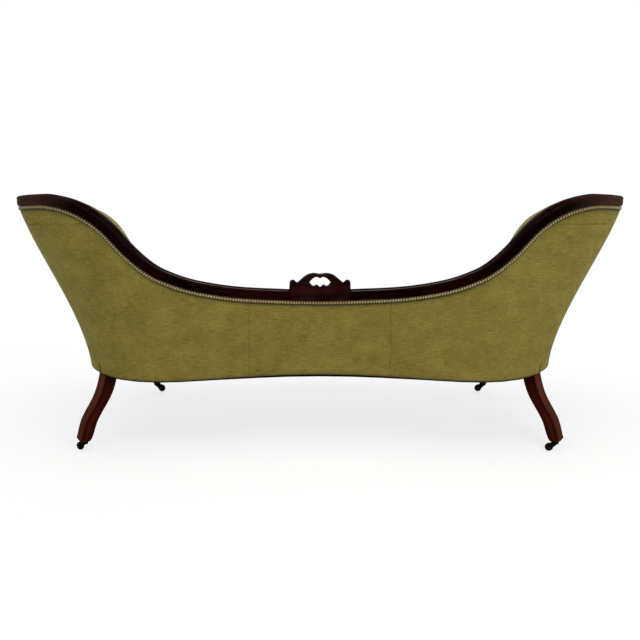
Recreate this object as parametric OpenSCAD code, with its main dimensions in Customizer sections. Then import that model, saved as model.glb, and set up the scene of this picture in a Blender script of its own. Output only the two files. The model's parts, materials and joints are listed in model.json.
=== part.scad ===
// Double spoon-back settee on four castors, seen from behind in its photograph.
// Front faces -Y, width runs along X, the floor is z = 0.
// A station s runs along the wall of the back: 0 at its centre, 1 at the rear bulge,
// 2 at the widest point and 3 at the front corner, negative on the left.

/* [Plan] */
// Half width of the outside cover at its hem
half_w = 796; // [740:1:850]
// Depth of the wall, from its rear bulge to its front corners
body_d = 581; // [540:1:620]
// Distance of the rear bulge behind the origin
rear_y = 279; // [240:1:320]
// How far the seat's front edge swells forward at its middle
front_swell = 45; // [20:1:60]

/* [Back] */
// Height of the outside cover's hem above the floor
hem_z = 232; // [215:1:250]
// Height from the hem to the top edge of the cover at the tallest point of an end
back_rise = 587; // [540:1:620]
// How far the wall leans out at the widest point
lean_max = 206; // [170:1:230]
// Thickness of the outside cover
cover_t = 2; // [1.5:0.1:3]
// Thickness of the wadding between the outside cover and the frame
wad_t = 3.5; // [3:0.5:5]
// Thickness of the frame's uprights, stays and tacking rails
frame_t = 26; // [22:1:30]
// Width of a back stay
stay_w = 52; // [46:1:58]

/* [Show-wood rail] */
// Height of the top rail
rail_h = 33; // [28:1:40]
// Distance from the cover's face to the rail's inner face
rail_in = 32; // [28:1:36]
// How far the rail's face stands proud of the cover
rail_proud = 4; // [2:0.5:6]
// Height of the bead along the rail's upper edge
rail_bead = 9; // [6:0.5:11]
// Width of the arm front along the wall
arm_w = 44; // [38:1:50]

/* [Crest] */
// Width of the crest
crest_w = 198; // [170:1:220]
// Height of the crest above the rail
crest_h = 59; // [48:1:66]
// Thickness of the crest
crest_t = 22; // [18:1:26]
// How deep the crest is let into the rail
crest_let = 5; // [3:1:8]

/* [Seat] */
// Height of the seat rails
seat_rail_h = 72; // [60:1:84]
// Thickness of the seat rails
seat_rail_t = 48; // [42:1:54]
// Gap between the hem and the underside of the seat rails
hem_lift = 4; // [3:0.5:8]
// Height of the seat's crown above its rails
seat_crown = 108; // [90:1:130]
// Height of the seat's edge above its rails
seat_edge_h = 76; // [60:1:88]
// Thickness of the seat cover and the inside covers
cloth_t = 1.8; // [1.4:0.1:2.4]
// Height above the seat rails at which the inside back starts
pad_start = 62; // [50:1:70]
// Greatest thickness of the inside back stuffing
pad_t = 78; // [60:1:90]
// How far the inside back covers the rail's inner face
pad_up = 25; // [20:1:30]

/* [Legs] */
// Side of a rear leg at its top
leg_side = 46; // [38:1:52]
// How far a rear leg's foot is outside its top, sideways
leg_out = 64; // [50:1:84]
// How far a rear leg's foot is behind its top
leg_back = 134; // [90:1:145]
// Turn of a rear leg's faces in plan
leg_turn = 52; // [40:1:60]
// Side of a front leg's block
block_w = 52; // [46:1:58]
// Widest radius of a front leg, at its knee
knee_r = 29; // [25:1:32]
// Radius of a front leg at its ankle
ankle_r = 12.5; // [11:0.5:15]
// Width of each foot where it meets its castor
foot_w = 28; // [26:1:32]

/* [Castors] */
// Height of a castor
castor_h = 34; // [32:1:38]
// Diameter of a castor's wheel
wheel_d = 27; // [24:1:28]
// Width of a castor's wheel
wheel_w = 13; // [11:1:14]
// Distance from a castor's swivel to its axle
trail = 20; // [18:1:22]
// Diameter of a castor's plate
plate_d = 25; // [24:1:26]
// Thickness of a castor's plate
plate_t = 4; // [3:0.5:5]
// Diameter of the swivel pin
pin_d = 8; // [7:0.5:9]
// Diameter of a castor's axle
axle_d = 5; // [4:0.5:6]
// Diameter of a castor screw's shank
screw_d = 2.6; // [2:0.2:3]

/* [Details] */
// Width of the gimp
gimp_w = 12; // [9:1:15]
// Thickness of the gimp
gimp_t = 3; // [2:0.5:4]
// Width of a webbing strip
web_w = 50; // [45:1:55]
// Thickness of the webbing
web_t = 2; // [1.5:0.1:2.5]
// Diameter of a seat spring
spring_d = 76; // [60:1:84]

/* [Hidden] */

mahogany = "#3b1a10";
beech = "#b98a55";
olive = "#766a2d";
inside_olive = "#8a8153";
braid = "#a08a52";
iron = "#1d1b1a";
linen = "#a8916a";
black_cloth = "#25221f";

// Clearance between neighbouring pieces
gap = 0.3;
// Overrun of a cut past the face that it goes through
cut = 2;
// Running clearance of a pin or axle in its hole
fit = 0.05;
// Step between the stations of the wall
station_share = 1 / 12;
// Short step along a curve where its direction is measured
tick_share = 1 / 200;

// Plan of the wall in three curves, from the centre of the back to a front corner.
// Each point is a share of half_w sideways and of body_d forwards from the rear bulge.
plan_shares = [
    [[0, 0.136], [0.276, 0.136], [0.490, 0], [0.671, 0]],
    [[0.671, 0], [0.859, 0], [1, 0.191], [1, 0.415]],
    [[1, 0.415], [1, 0.652], [0.923, 0.824], [0.844, 1]]
];
// Lean of the wall at every quarter station, as a share of lean_max
lean_shares = [0.219, 0.238, 0.257, 0.295, 0.352, 0.548, 0.857, 1, 0.914, 0.79, 0.643, 0.467, 0.286];
// Height of the wall at every eighth station, as a share of back_rise
rise_shares = [
    0.447, 0.450, 0.459, 0.470, 0.486, 0.509, 0.538, 0.578, 0.634, 0.738, 0.878, 0.967, 1,
    0.990, 0.968, 0.945, 0.923, 0.889, 0.838, 0.770, 0.695, 0.617, 0.545, 0.491, 0.457];
// Slope of the leaning wall at its foot and at its top, as shares of its mean slope
foot_slope_share = 0.25;
top_slope_share = 0.8;
// Lean of the top rail's faces, as a share of the wall's slope under it
rail_rake_share = 0.35;
lean_step_share = 1 / 4;
rise_step_share = 1 / 8;

function bezier(p, u) = pow(1 - u, 3) * p[0] + 3 * pow(1 - u, 2) * u * p[1]
    + 3 * (1 - u) * u * u * p[2] + pow(u, 3) * p[3];
function bezier_slope(p, u) = 3 * (pow(1 - u, 2) * (p[1] - p[0])
    + 2 * (1 - u) * u * (p[2] - p[1]) + u * u * (p[3] - p[2]));
// A smooth curve through a table whose values lie one step apart, level at its start
function smooth(a, b, c, d, u) = b + u * ((c - a) + u * ((2 * a - 5 * b + 4 * c - d)
    + u * (3 * (b - c) + d - a))) / 2;
function table_at(t, step, s) =
    let (last = len(t) - 1, k = min(floor(abs(s) / step), last - 1), u = abs(s) / step - k)
    smooth(t[abs(k - 1)], t[k], t[k + 1], k + 2 > last ? 2 * t[last] - t[last - 1] : t[k + 2], u);

function piece_of(s) = min(floor(abs(s)), 2);
function side_of(s) = s < 0 ? -1 : 1;
function base(s) = let (p = bezier(plan_shares[piece_of(s)], abs(s) - piece_of(s)))
    [side_of(s) * half_w * p.x, rear_y - body_d * p.y, 0];
// Direction of the wall in plan, towards larger s, and how fast it runs
function run_of(s) = let (p = bezier_slope(plan_shares[piece_of(s)], abs(s) - piece_of(s)))
    [half_w * p.x, -side_of(s) * body_d * p.y, 0];
function along(s) = run_of(s) / norm(run_of(s));
function outward(s) = let (q = along(s)) [-q.y, q.x, 0];
// Share of a station that a length covers at s
function span(s, length) = length / norm(run_of(s));

function lean(s) = lean_max * table_at(lean_shares, lean_step_share, s);
function rise(s) = back_rise * table_at(rise_shares, rise_step_share, s);
function lean_share(t) = t > 1 ? 1 + top_slope_share * (t - 1)
    : 3 * t * t - 2 * t * t * t + foot_slope_share * (t * t * t - 2 * t * t + t)
        + top_slope_share * (t * t * t - t * t);
// A point of the wall at station s and height z, measured inwards from the cover's face
function wall(s, z, inset) = base(s) + [0, 0, z]
    + outward(s) * (lean(s) * lean_share((z - hem_z) / rise(s)) - inset);
function top_z(s) = hem_z + rise(s);
function rail_line(s) = wall(s, top_z(s), 0);
function unit(v) = v / norm(v);
// Rake of the top rail's faces, per unit of height
function rake(s) = outward(s) * rail_rake_share * lean(s) * top_slope_share / rise(s) + [0, 0, 1];
// Part of the rake that is square to the rail's run
function square_up(s) = let (run = unit(rail_line(s + tick_share) - rail_line(s - tick_share)))
    rake(s) - (rake(s) * run) * run;
function rail_point(s, out, up) = rail_line(s) + outward(s) * out + unit(square_up(s)) * up;
// Height that a width measured across the rail's face takes in a vertical plane
function upright(s, width) = width / norm(square_up(s));
// A point of the inner lining, which follows the wall and then the top rail's face
function lining(s, z, inset) = wall(s, min(z, top_z(s)), inset) + rake(s) * max(z - top_z(s), 0);
function stations(a, b, step = station_share) = concat([a],
    [for (k = [floor(a / step) + 1 : ceil(b / step) - 1])
        if (k * step - a > tick_share && b - k * step > tick_share) k * step],
    [b]);

// A closed solid through rings of points, each ring planar and with as many points
// From the point "fold" on, faces are split the other way, so that both skins of a wall are alike
module loft(rings, fold = 0) {
    n = len(rings[0]);
    last = (len(rings) - 1) * n;
    sides = [for (i = [0 : len(rings) - 2], j = [0 : n - 1])
        let (a = i * n + j, b = i * n + (j + 1) % n)
        each fold == 0 || j < fold ? [[a, b + n, b], [a, a + n, b + n]]
            : [[a, a + n, b], [a + n, b + n, b]]];
    ends = [[for (j = [0 : n - 1]) j], [for (j = [n - 1 : -1 : 0]) last + j]];
    polyhedron([for (ring = rings) each ring], concat(sides, ends));
}

// Straight-topped stretch of the wall between two heights and two insets
function slab_ring(s, z0, z1, in0, in1, steps) = concat(
    [for (k = [0 : steps]) wall(s, z0 + (z1 - z0) * k / steps, in0)],
    [for (k = [steps : -1 : 0]) wall(s, z0 + (z1 - z0) * k / steps, in1)]);
module slab(a, b, z0, z1, in0, in1, steps = 1)
    loft([for (s = stations(a, b)) slab_ring(s, z0, z1, in0, in1, steps)], steps + 1);
// A piece made for the right side, or its mirror image on the left
module on_side(side) mirror([side < 0 ? 1 : 0, 0, 0]) children();
// Stretch of the wall that ends just under the top rail
module post(a, b, z0, in0, in1, steps)
    loft([for (s = stations(a, b)) slab_ring(s, z0, top_z(s) - post_drop, in0, in1, steps)],
        steps + 1);

// Heights
rail_z = hem_z - hem_lift;
seat_z = rail_z + seat_rail_h;
pad_z = seat_z + pad_start;

// Stations of the joints
seam_share = 0.38;
pad_seam_share = 0.82;
rail_joint_share = 11 * station_share;
leg_share = 1.55;
stay_share = 0.58;
end_share = 3;
wall_end = end_share - span(end_share, gap);
inner = cover_t + wad_t;
// Room over the posts, and over the cloth, under the curved edge of the top rail
post_drop = 2;
cloth_drop = 0.8;
frame_in = inner + frame_t;
leg_chamfer = 3;
// Half the room that a leg's turned top takes along the wall
post_half = span(leg_share, norm([leg_side / 2, leg_side / 2 - leg_chamfer]) + gap);
stay_half = span(stay_share, stay_w / 2);

// Seat plan. The front edge runs between the front legs' blocks.
block_in = inner + block_w;
front_end = base(end_share) + along(end_share) * block_w - outward(end_share) * (block_in + gap);
front_back = base(end_share) + along(end_share) * gap - outward(end_share) * (block_in + gap);
front_steps = 24;
// Front edge at a share u of its half width, moved back from its face by inset
function front_point(u, inset, half) = [half * u,
    front_end.y - front_swell * (1 + cos(180 * u)) / 2 + inset, 0];

module seat_rail(a, b) slab(a, b, rail_z, seat_z, inner, inner + seat_rail_t);

module back_seat_rail() color(beech)
    seat_rail(-leg_share + post_half + span(leg_share, gap), leg_share - post_half - span(leg_share, gap));
module end_seat_rail(side) color(beech) on_side(side)
    seat_rail(leg_share + post_half + span(leg_share, gap), wall_end);

module front_seat_rail() color(mahogany) translate([0, 0, rail_z]) linear_extrude(seat_rail_h)
    polygon(concat(
        [for (k = [-front_steps : front_steps])
            let (p = front_point(k / front_steps, 0, front_end.x)) [p.x, p.y]],
        [for (k = [front_steps : -1 : -front_steps])
            let (p = front_point(k / front_steps, seat_rail_t, front_back.x))
                [p.x, min(p.y, front_back.y)]]));

// Station whose wall lies at a sideways place, found by halving
function station_at(x, lo = 0, hi = 1, halvings = 20) = let (m = (lo + hi) / 2)
    halvings == 0 ? m : base(m).x < x ? station_at(x, m, hi, halvings - 1)
        : station_at(x, lo, m, halvings - 1);

cross_x_share = 0.276;
cross_w = 45;
cross_h = 52;
cross_x = half_w * cross_x_share;
function cross_back(x) = wall(station_at(x), rail_z, inner + seat_rail_t + gap);
function cross_front(x) = front_point(x / front_back.x, seat_rail_t + gap, front_back.x);
module seat_cross_rails() color(beech) for (side = [-1, 1])
    translate([0, 0, rail_z]) linear_extrude(cross_h) polygon([
        for (p = [cross_back(cross_x - cross_w / 2), cross_back(cross_x + cross_w / 2),
            cross_front(cross_x + cross_w / 2), cross_front(cross_x - cross_w / 2)])
            [side * p.x, p.y]]);

block_t = 28;
block_reach = 70;
// Room under and over a corner block, within the height of the seat rails
block_lift = 14;
block_drop = 8;
block_h = seat_rail_h - block_lift - block_drop;
// Glue blocks behind the rear legs and in the front corners
module corner_blocks() color(beech) for (side = [-1, 1]) on_side(side) {
    slab(leg_share - span(leg_share, block_reach), leg_share + span(leg_share, block_reach),
        rail_z + block_lift, rail_z + block_lift + block_h,
        inner + seat_rail_t + gap, inner + seat_rail_t + gap + block_t);
    translate([0, 0, rail_z + block_lift]) linear_extrude(block_h) polygon([
        for (p = [corner_point(block_reach), corner_point(gap),
            front_corner(0), front_corner(block_reach)]) [p.x, p.y]]);
}
function corner_point(back) = wall(end_share - span(end_share, back), rail_z,
    inner + seat_rail_t + gap);
function front_corner(across) = let (x = front_back.x - across)
    [x, min(front_point(x / front_back.x, seat_rail_t, front_back.x).y, front_back.y) + gap, 0];

// Rear legs
// Sweep of the leg from its top to its foot: share of the drop, share of the sweep
sweep_shares = [[0, 0], [0.10, 0.055], [0.22, 0.13], [0.34, 0.235], [0.44, 0.36], [0.53, 0.50],
    [0.62, 0.645], [0.71, 0.77], [0.80, 0.855], [0.88, 0.91], [0.94, 0.95], [1, 1]];
// Side of the leg just above its foot, as a share of leg_side
leg_low_share = 0.86;
foot_cone = 12;
// How far a leg's top runs up into the block above it
top_lap = 3;
leg_top_in = inner + leg_side / 2;
post_steps = 6;
// Room round the swivel pin in the leg's foot
pin_room = 0.6;
function square_ring(c, side, chamfer, turn) = let (h = side / 2, k = h - chamfer)
    [for (p = [[-k, -h], [k, -h], [h, -k], [h, k], [k, h], [-k, h], [-h, k], [-h, -k]])
        c + [p.x * cos(turn) - p.y * sin(turn), p.x * sin(turn) + p.y * cos(turn), 0]];
function leg_top() = base(leg_share) - outward(leg_share) * leg_top_in;
function foot_at(end, side) = end == "rear"
    ? [side * (leg_top().x + leg_out), leg_top().y + leg_back, castor_h]
    : [side * (block_centre().x + toe_out), block_centre().y - toe_front, castor_h];
function rear_leg_rings() = let (drop = rail_z + top_lap - castor_h) concat(
    [square_ring(foot_at("rear", 1), foot_w, leg_chamfer, -leg_turn)],
    reversed([for (q = sweep_shares)
        square_ring(leg_top() + [leg_out * q[1], leg_back * q[1],
                castor_h + foot_cone + (drop - foot_cone) * (1 - q[0])],
            leg_side * (1 - (1 - leg_low_share) * pow(q[0], 2)), leg_chamfer, -leg_turn)]));
module castor_holes(end, side) translate(foot_at(end, side)) {
    translate([0, 0, -cut]) cylinder(d = pin_d + 2 * pin_room, h = pin_up + 2 * cut, $fn = 48);
    screw_places() translate([0, 0, -cut])
        cylinder(d = screw_d + 2 * fit, h = screw_l + 2 * cut, $fn = 24);
}
// Section of the leg's upright: as thick as the seat rails below seat_z, as the frame above it
function upright_ring(s) =
    let (zs = [for (k = [0 : post_steps]) seat_z + (top_z(s) - post_drop - seat_z) * k / post_steps])
    concat([for (z = concat([rail_z], zs)) wall(s, z, inner)],
        [for (z = reversed(zs)) wall(s, z, frame_in)],
        [wall(s, seat_z, inner + seat_rail_t), wall(s, rail_z, inner + seat_rail_t)]);
module rear_leg(side) color(mahogany) difference() {
    on_side(side) {
        loft(rear_leg_rings());
        loft([for (s = stations(leg_share - post_half, leg_share + post_half)) upright_ring(s)]);
    }
    castor_holes("rear", side);
}

// Front legs: a block between the rails over a turned-out leg
toe_out = 2;
toe_front = 8;
function block_centre() =
    base(end_share) + along(end_share) * (block_w + gap) / 2 - outward(end_share) * (inner + block_w / 2);
// From the ankle up: share of the height, share of knee_r that the leg stands forward of a line
// from block to foot, and share of the way from ankle_r to knee_r that its radius has
leg_form_shares = [[0.04, -0.05, 0.16], [0.10, -0.18, 0.08], [0.20, -0.33, 0], [0.34, -0.27, 0.10],
    [0.50, -0.08, 0.33], [0.66, 0.13, 0.62], [0.80, 0.25, 0.92], [0.90, 0.19, 1], [1, 0.05, 0.86]];
// Way that the knee stands out, sideways and forwards
knee_way_share = [0.5, -0.85, 0];
leg_points = 16;
function round_ring(c, r) = [for (k = [0 : leg_points - 1])
    c + [r * cos(360 * k / leg_points), r * sin(360 * k / leg_points), 0]];
function front_leg_rings() =
    let (foot = foot_at("front", 1), block = block_centre() + [0, 0, rail_z])
    concat([round_ring(foot, foot_w / 2)], [for (q = leg_form_shares) round_ring(
        foot + (block - foot) * q[0] + knee_way_share * knee_r * q[1],
        ankle_r + (knee_r - ankle_r) * q[2])]);
function block_corner(forward, inset) =
    let (v = base(end_share) + along(end_share) * forward - outward(end_share) * inset) [v.x, v.y];
module front_leg(side) color(mahogany) difference() {
    on_side(side) {
        loft(front_leg_rings());
        translate([0, 0, rail_z - cut]) linear_extrude(seat_rail_h + cut)
            polygon([block_corner(gap, inner), block_corner(block_w, inner),
                block_corner(block_w, block_in), block_corner(gap, block_in)]);
    }
    castor_holes("front", side);
}

module back_stays() color(beech) for (side = [-1, 1])
    post(side * stay_share - stay_half, side * stay_share + stay_half, seat_z + gap, inner, frame_in, 3);

tack_h = 34;
tack_z = pad_z + gap;
tack_gap = span(leg_share, gap);
// Rails between the posts that the foot of the inside back is tacked to
module tacking_rails() color(beech) {
    ends = [-wall_end, -leg_share - post_half - tack_gap, -leg_share + post_half + tack_gap,
        -stay_share - stay_half - tack_gap, -stay_share + stay_half + tack_gap];
    for (pair = [[ends[0], ends[1]], [ends[2], ends[3]], [ends[4], -ends[4]],
            [-ends[3], -ends[2]], [-ends[1], -ends[0]]])
        slab(pair[0], pair[1], tack_z, tack_z + tack_h, inner, frame_in);
}

// Section of the top rail: distance out from the cover's face, height above its edge
function rail_section() = let (in = -rail_in, out = rail_proud, top = rail_h, bead = rail_bead) [
    [in, 0], [in, top - bead], [in + bead / 3, top - bead / 3], [in + bead, top],
    [out - 2 * bead, top + bead / 6], [out - bead, top], [out - bead / 4, top - bead / 4],
    [out + bead / 6, top - bead / 2], [out, top - bead], [out - bead / 5, top - 6 / 5 * bead],
    [out, bead / 2], [out - bead / 4, 0]];
// The rail's rings are square to its run, but for one upright ring where it meets an arm front
module top_rail(a, b) color(mahogany) loft(reversed([for (s = stations(a, b))
    [for (p = rail_section()) s == wall_end
        ? rail_line(s) + outward(s) * p[0] + rake(s) * upright(s, p[1]) : rail_point(s, p[0], p[1])]]));

crest_slope = atan(rake(0).y);
// Place of the crest's foot: near the rail's face, let in a little
module at_crest() translate(rail_point(0, rail_proud - crest_t / 2 - rail_bead / 4, 0))
    rotate([-crest_slope, 0, 0]) translate([0, 0, rail_h - crest_let]) children();
module top_rail_centre() difference() {
    top_rail(-rail_joint_share, rail_joint_share);
    color(mahogany) at_crest() translate([-crest_w / 2 - gap, -crest_t / 2 - gap - cut, -gap])
        cube([crest_w + 2 * gap, crest_t + 2 * gap + 2 * cut, rail_h]);
}
rail_joint = rail_joint_share + span(rail_joint_share, gap);

// Outline of half the crest from its end to its middle, as shares of crest_w / 2 and of crest_h,
// and the outline of half its hole
crest_shares = [[1, 0], [1, 0.475], [0.992, 0.541], [0.965, 0.592], [0.93, 0.62], [0.89, 0.625],
    [0.85, 0.602], [0.815, 0.555], [0.785, 0.512], [0.755, 0.503], [0.72, 0.536], [0.66, 0.625],
    [0.58, 0.742], [0.52, 0.822], [0.455, 0.892], [0.39, 0.944], [0.32, 0.977], [0.25, 0.995],
    [0.19, 1], [0.12, 0.986], [0.065, 0.967], [0.03, 0.986], [0, 0.995]];
hole_shares = [[0, 0.264], [0.03, 0.306], [0.065, 0.353], [0.1, 0.372], [0.135, 0.372],
    [0.17, 0.348], [0.2, 0.334], [0.235, 0.339], [0.27, 0.367], [0.31, 0.438], [0.342, 0.503],
    [0.348, 0.541], [0.34, 0.578], [0.32, 0.616], [0.29, 0.667], [0.258, 0.719], [0.225, 0.758],
    [0.195, 0.789], [0.16, 0.812], [0.13, 0.822], [0.095, 0.822], [0.065, 0.808], [0.03, 0.78],
    [0, 0.766]];
function both_sides(half, h) = concat([for (p = half) [p[0] * crest_w / 2, p[1] * h]],
    [for (k = [len(half) - 2 : -1 : 0]) [-half[k][0] * crest_w / 2, half[k][1] * h]]);
module crest() color(mahogany) at_crest() translate([0, crest_t / 2, 0]) rotate([90, 0, 0])
    linear_extrude(crest_t) difference() {
        polygon(both_sides(crest_shares, crest_h + crest_let));
        polygon(both_sides(hole_shares, crest_h + crest_let));
    }

// Arm fronts: boards with a scrolled front edge that carry the ends of the top rail
// Share of the height, share of arm_w that the edge stands forward
arm_shares = [[0, 1], [0.08, 0.96], [0.2, 0.80], [0.34, 0.70], [0.48, 0.76], [0.62, 0.92],
    [0.74, 1.06], [0.84, 1.12], [0.92, 1.04], [0.97, 0.82], [1, 0.46]];
arm_in = 36;
arm_round = 8;
arm_top = top_z(end_share) + rail_h;
function arm_ring(z, forward) =
    let (p = wall(end_share, z, 0), q = along(end_share), n = outward(end_share), r = arm_round,
        o = rail_proud, i = -arm_in, f = forward)
    [for (v = [[gap, o], [f - r, o], [f - r / 3, o - r / 3], [f, o - r],
        [f, i + r], [f - r / 3, i + r / 3], [f - r, i], [gap, i]])
        p + q * v[0] + n * v[1]];
module arm_front(side) color(mahogany) on_side(side)
    loft(reversed([for (q = arm_shares)
        arm_ring(seat_z + gap + (arm_top - seat_z - gap) * q[0], arm_w * q[1])]));

// Outside cover: three widths of cloth sewn together
cover_steps = 8;
module outside_cover(a, b) color(olive)
    loft([for (s = stations(a, b))
        slab_ring(s, hem_z, top_z(s) - cloth_drop, 0, cover_t, cover_steps)], cover_steps + 1);
seam = span(seam_share, gap / 2);

// Inside back: stuffing from its tacking rail up over the inner face of the top rail
// Height share and thickness share up the middle of a panel
pad_shares = [[0, 0.80], [0.06, 0.94], [0.18, 1], [0.34, 1], [0.52, 0.94], [0.70, 0.84],
    [0.84, 0.72], [0.93, 0.56], [0.98, 0.36], [1, 0.12]];
// Thickness at a panel's sewn edge, as a share, and the width over which it is drawn in
pad_edge_share = 0.55;
pad_draw = 70;
// Thickness of the stuffing at every half station, as a share of pad_t
pad_wall_shares = [0.55, 0.62, 0.8, 1, 1, 0.9, 0.62];
// Room for the hessian behind the stuffing
back_hessian = 2.6;
pad_back = frame_in + back_hessian;
pad_step_share = 1 / 2;
function pad_top(s) = top_z(s) + upright(s, pad_up);
function drawn(s, a, b) = let (d = min(s - a, b - s) * norm(run_of(s)) / pad_draw)
    d >= 1 ? 1 : pad_edge_share + (1 - pad_edge_share) * sqrt(d * (2 - d));
function pad_thick(s, a, b) = pad_t * table_at(pad_wall_shares, pad_step_share, s) * drawn(s, a, b);
function pad_front(s, a, b, extra) = [for (q = pad_shares)
    lining(s, pad_z + (pad_top(s) - pad_z) * q[0], pad_back + pad_thick(s, a, b) * q[1] + extra)];
function reversed(v) = [for (k = [len(v) - 1 : -1 : 0]) v[k]];
back_steps = 6;
module inside_stuffing(a, b) color(linen)
    loft([for (s = stations(a, b)) concat(
        [for (k = [0 : back_steps]) wall(s, pad_z + (top_z(s) - pad_z) * k / back_steps, pad_back)],
        [lining(s, pad_top(s), pad_back)],
        reversed(pad_front(s, a, b, 0)))], back_steps + 2);
module inside_cover(a, b) color(inside_olive)
    loft([for (s = stations(a, b))
        concat(pad_front(s, a, b, gap), reversed(pad_front(s, a, b, gap + cloth_t)))],
        len(pad_shares));
pad_seam = span(pad_seam_share, gap);

// Gimp: a braid along the edge of the rail, outside and inside
gimp_end = end_share - span(end_share, gap + gimp_w);
module outside_gimp() color(braid) loft([for (s = stations(-gimp_end, gimp_end))
    let (high = top_z(s) - cloth_drop, low = high - upright(s, gimp_w))
    [wall(s, low, -gap - gimp_t), wall(s, high, -gap - gimp_t),
        wall(s, high, -gap), wall(s, low, -gap)]], 2);
// The inside gimp covers the upper edge of the inside cover, on the rail's inner face
gimp_up = 5;
gimp_lift = 2.5;
module inside_gimp() color(braid) loft([for (s = stations(-gimp_end, gimp_end))
    let (low = pad_up + gimp_lift, high = low + gimp_up, out = -rail_in - gap, in = out - gimp_w / 2)
    [rail_point(s, out, low), rail_point(s, out, high),
        rail_point(s, in, high), rail_point(s, in, low)]], 2);

// Seat: springs on webbing, hessian, stuffing and cover
seat_low = end_share - span(end_share, gap);
// Long middle line of the seat: how far forward it lies and how far it reaches sideways
seat_mid_share = 0.6;
spine_share = 0.6;
// Ring of points round the seat: its inset at each station of the wall, the inset of its front
// edge, and how far it is drawn towards the seat's long middle line
function seat_ring(in_at, front_in, pull, z) =
    let (back = [for (s = stations(-seat_low, seat_low, 2 * station_share))
            base(s) - outward(s) * in_at(s)],
        front = [for (k = [front_steps - 1 : -2 : 1 - front_steps])
            front_point(k / front_steps, front_in, front_end.x)])
    [for (p = concat(back, front))
        let (reach = half_w * spine_share,
            m = [max(-reach, min(reach, p.x)), rear_y - body_d * seat_mid_share, 0])
        p + (m - p) * pull + [0, 0, z]];
function seat_edge(inset, front_in) =
    [for (p = seat_ring(function(s) inset, front_in, 0, 0)) [p.x, p.y]];
hessian_t = 1.4;
stuff_z = seat_z + hessian_t + 2 * gap;
seat_in = frame_in + gap;
edge_room = 3;
// Inset of the seat where it rises in front of the inside back
function seat_back_in(s) =
    pad_back + pad_t * table_at(pad_wall_shares, pad_step_share, s) + cloth_t + edge_room;
// How far the front of the seat swells over its rail
front_lip = 9;
// Levels of the seat under and over the foot of the inside back: share of the rise of the edge,
// share of front_lip
under_shares = [[0, 0], [0.5, 1], [0.78, 0.8]];
over_shares = [[0.8, 0.75], [1, 0]];
// Levels of the crown: share of its rise, share of the way to the middle line
crown_shares = [[0.30, 0.10], [0.58, 0.24], [0.82, 0.42], [0.95, 0.62], [1, 0.84]];
edge_rise = seat_edge_h - hessian_t - 2 * gap;
// Rings of the seat grown by a cloth, its first one lowered
function seat_rings(grow, low) = concat(
    [for (q = under_shares) seat_ring(function(s) seat_in, -front_lip * q[1] - grow, 0,
        q[0] == 0 ? stuff_z - low : min(stuff_z + edge_rise * q[0], pad_z - edge_room))],
    [for (q = over_shares) seat_ring(function(s) seat_back_in(s) - grow,
        -front_lip * q[1] - grow, 0, stuff_z + edge_rise * q[0])],
    [for (q = crown_shares) seat_ring(function(s) seat_back_in(s) - grow, -grow, q[1],
        stuff_z + edge_rise + (seat_crown - seat_edge_h) * q[0] + grow)]);
module spring_hessian() color(linen) translate([0, 0, seat_z + gap]) linear_extrude(hessian_t)
    polygon(seat_edge(seat_in, gap));
module seat_stuffing() color(linen) loft(reversed(seat_rings(0, 0)));
module seat_cover() color(inside_olive) difference() {
    loft(reversed(seat_rings(gap + cloth_t, 0)));
    loft(reversed(seat_rings(gap, cut)));
}
spring_h = seat_rail_h - 2 * gap;
waist_share = 0.6;
// Places of the springs as shares of body_d forwards and of half_w sideways
spring_row_shares = [0.33, 0.55, 0.77];
spring_x_shares = [0, 0.142, 0.41, 0.552, 0.694];
module seat_spring() rotate_extrude($fn = 40) let (r = spring_d / 2)
    polygon([[0, 0], [r, 0], [r * waist_share, spring_h / 2], [r, spring_h], [0, spring_h]]);
module seat_springs() color("silver")
    for (x = spring_x_shares, row = spring_row_shares, side = x == 0 ? [1] : [-1, 1])
        translate([side * half_w * x, rear_y - body_d * row, rail_z + gap]) seat_spring();

// Webbing under the rails and the dust cover under the webbing
web_z = rail_z - gap - web_t;
web_row_shares = [0.30, 0.43, 0.56, 0.69, 0.82];
web_x_shares = [0, 0.11, 0.22, 0.33, 0.44, 0.55, 0.66, 0.77];
web_tack = 22;
leg_room = 6;
// What is left open round the tops of the legs
module leg_openings() for (side = [-1, 1]) mirror([side < 0 ? 1 : 0, 0]) {
    translate([leg_top().x, leg_top().y]) rotate(-leg_turn)
        square(leg_side + 2 * leg_room, center = true);
    translate([block_centre().x, block_centre().y]) circle(knee_r + leg_room, $fn = 48);
}
module webbing_crosswise() color(linen) translate([0, 0, web_z]) linear_extrude(web_t)
    intersection() {
        polygon(seat_edge(web_tack, web_tack));
        for (row = web_row_shares)
            translate([-half_w, rear_y - body_d * row - web_w / 2]) square([2 * half_w, web_w]);
    }
module webbing_lengthwise() color(linen) translate([0, 0, web_z - gap - web_t])
    linear_extrude(web_t) difference() {
        intersection() {
            polygon(seat_edge(web_tack, web_tack));
            for (x = web_x_shares, side = x == 0 ? [1] : [-1, 1])
                translate([side * half_w * x - web_w / 2, rear_y - 2 * body_d])
                    square([web_w, 3 * body_d]);
        }
        leg_openings();
    }
dust_t = 1;
dust_in = 12;
module dust_cover() color(black_cloth) translate([0, 0, web_z - 2 * gap - web_t - dust_t])
    linear_extrude(dust_t) difference() {
        polygon(seat_edge(dust_in, dust_in));
        leg_openings();
    }
// Gimp along the foot of the seat cover, on the front rail's face
module front_gimp() color(braid) translate([0, 0, seat_z - gimp_w]) linear_extrude(gimp_w)
    polygon(concat(
        [for (k = [1 - front_steps : front_steps - 1])
            let (p = front_point(k / front_steps, -gap, front_end.x)) [p.x, p.y]],
        [for (k = [front_steps - 1 : -1 : 1 - front_steps])
            let (p = front_point(k / front_steps, -gap - gimp_t, front_end.x)) [p.x, p.y]]));

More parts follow.
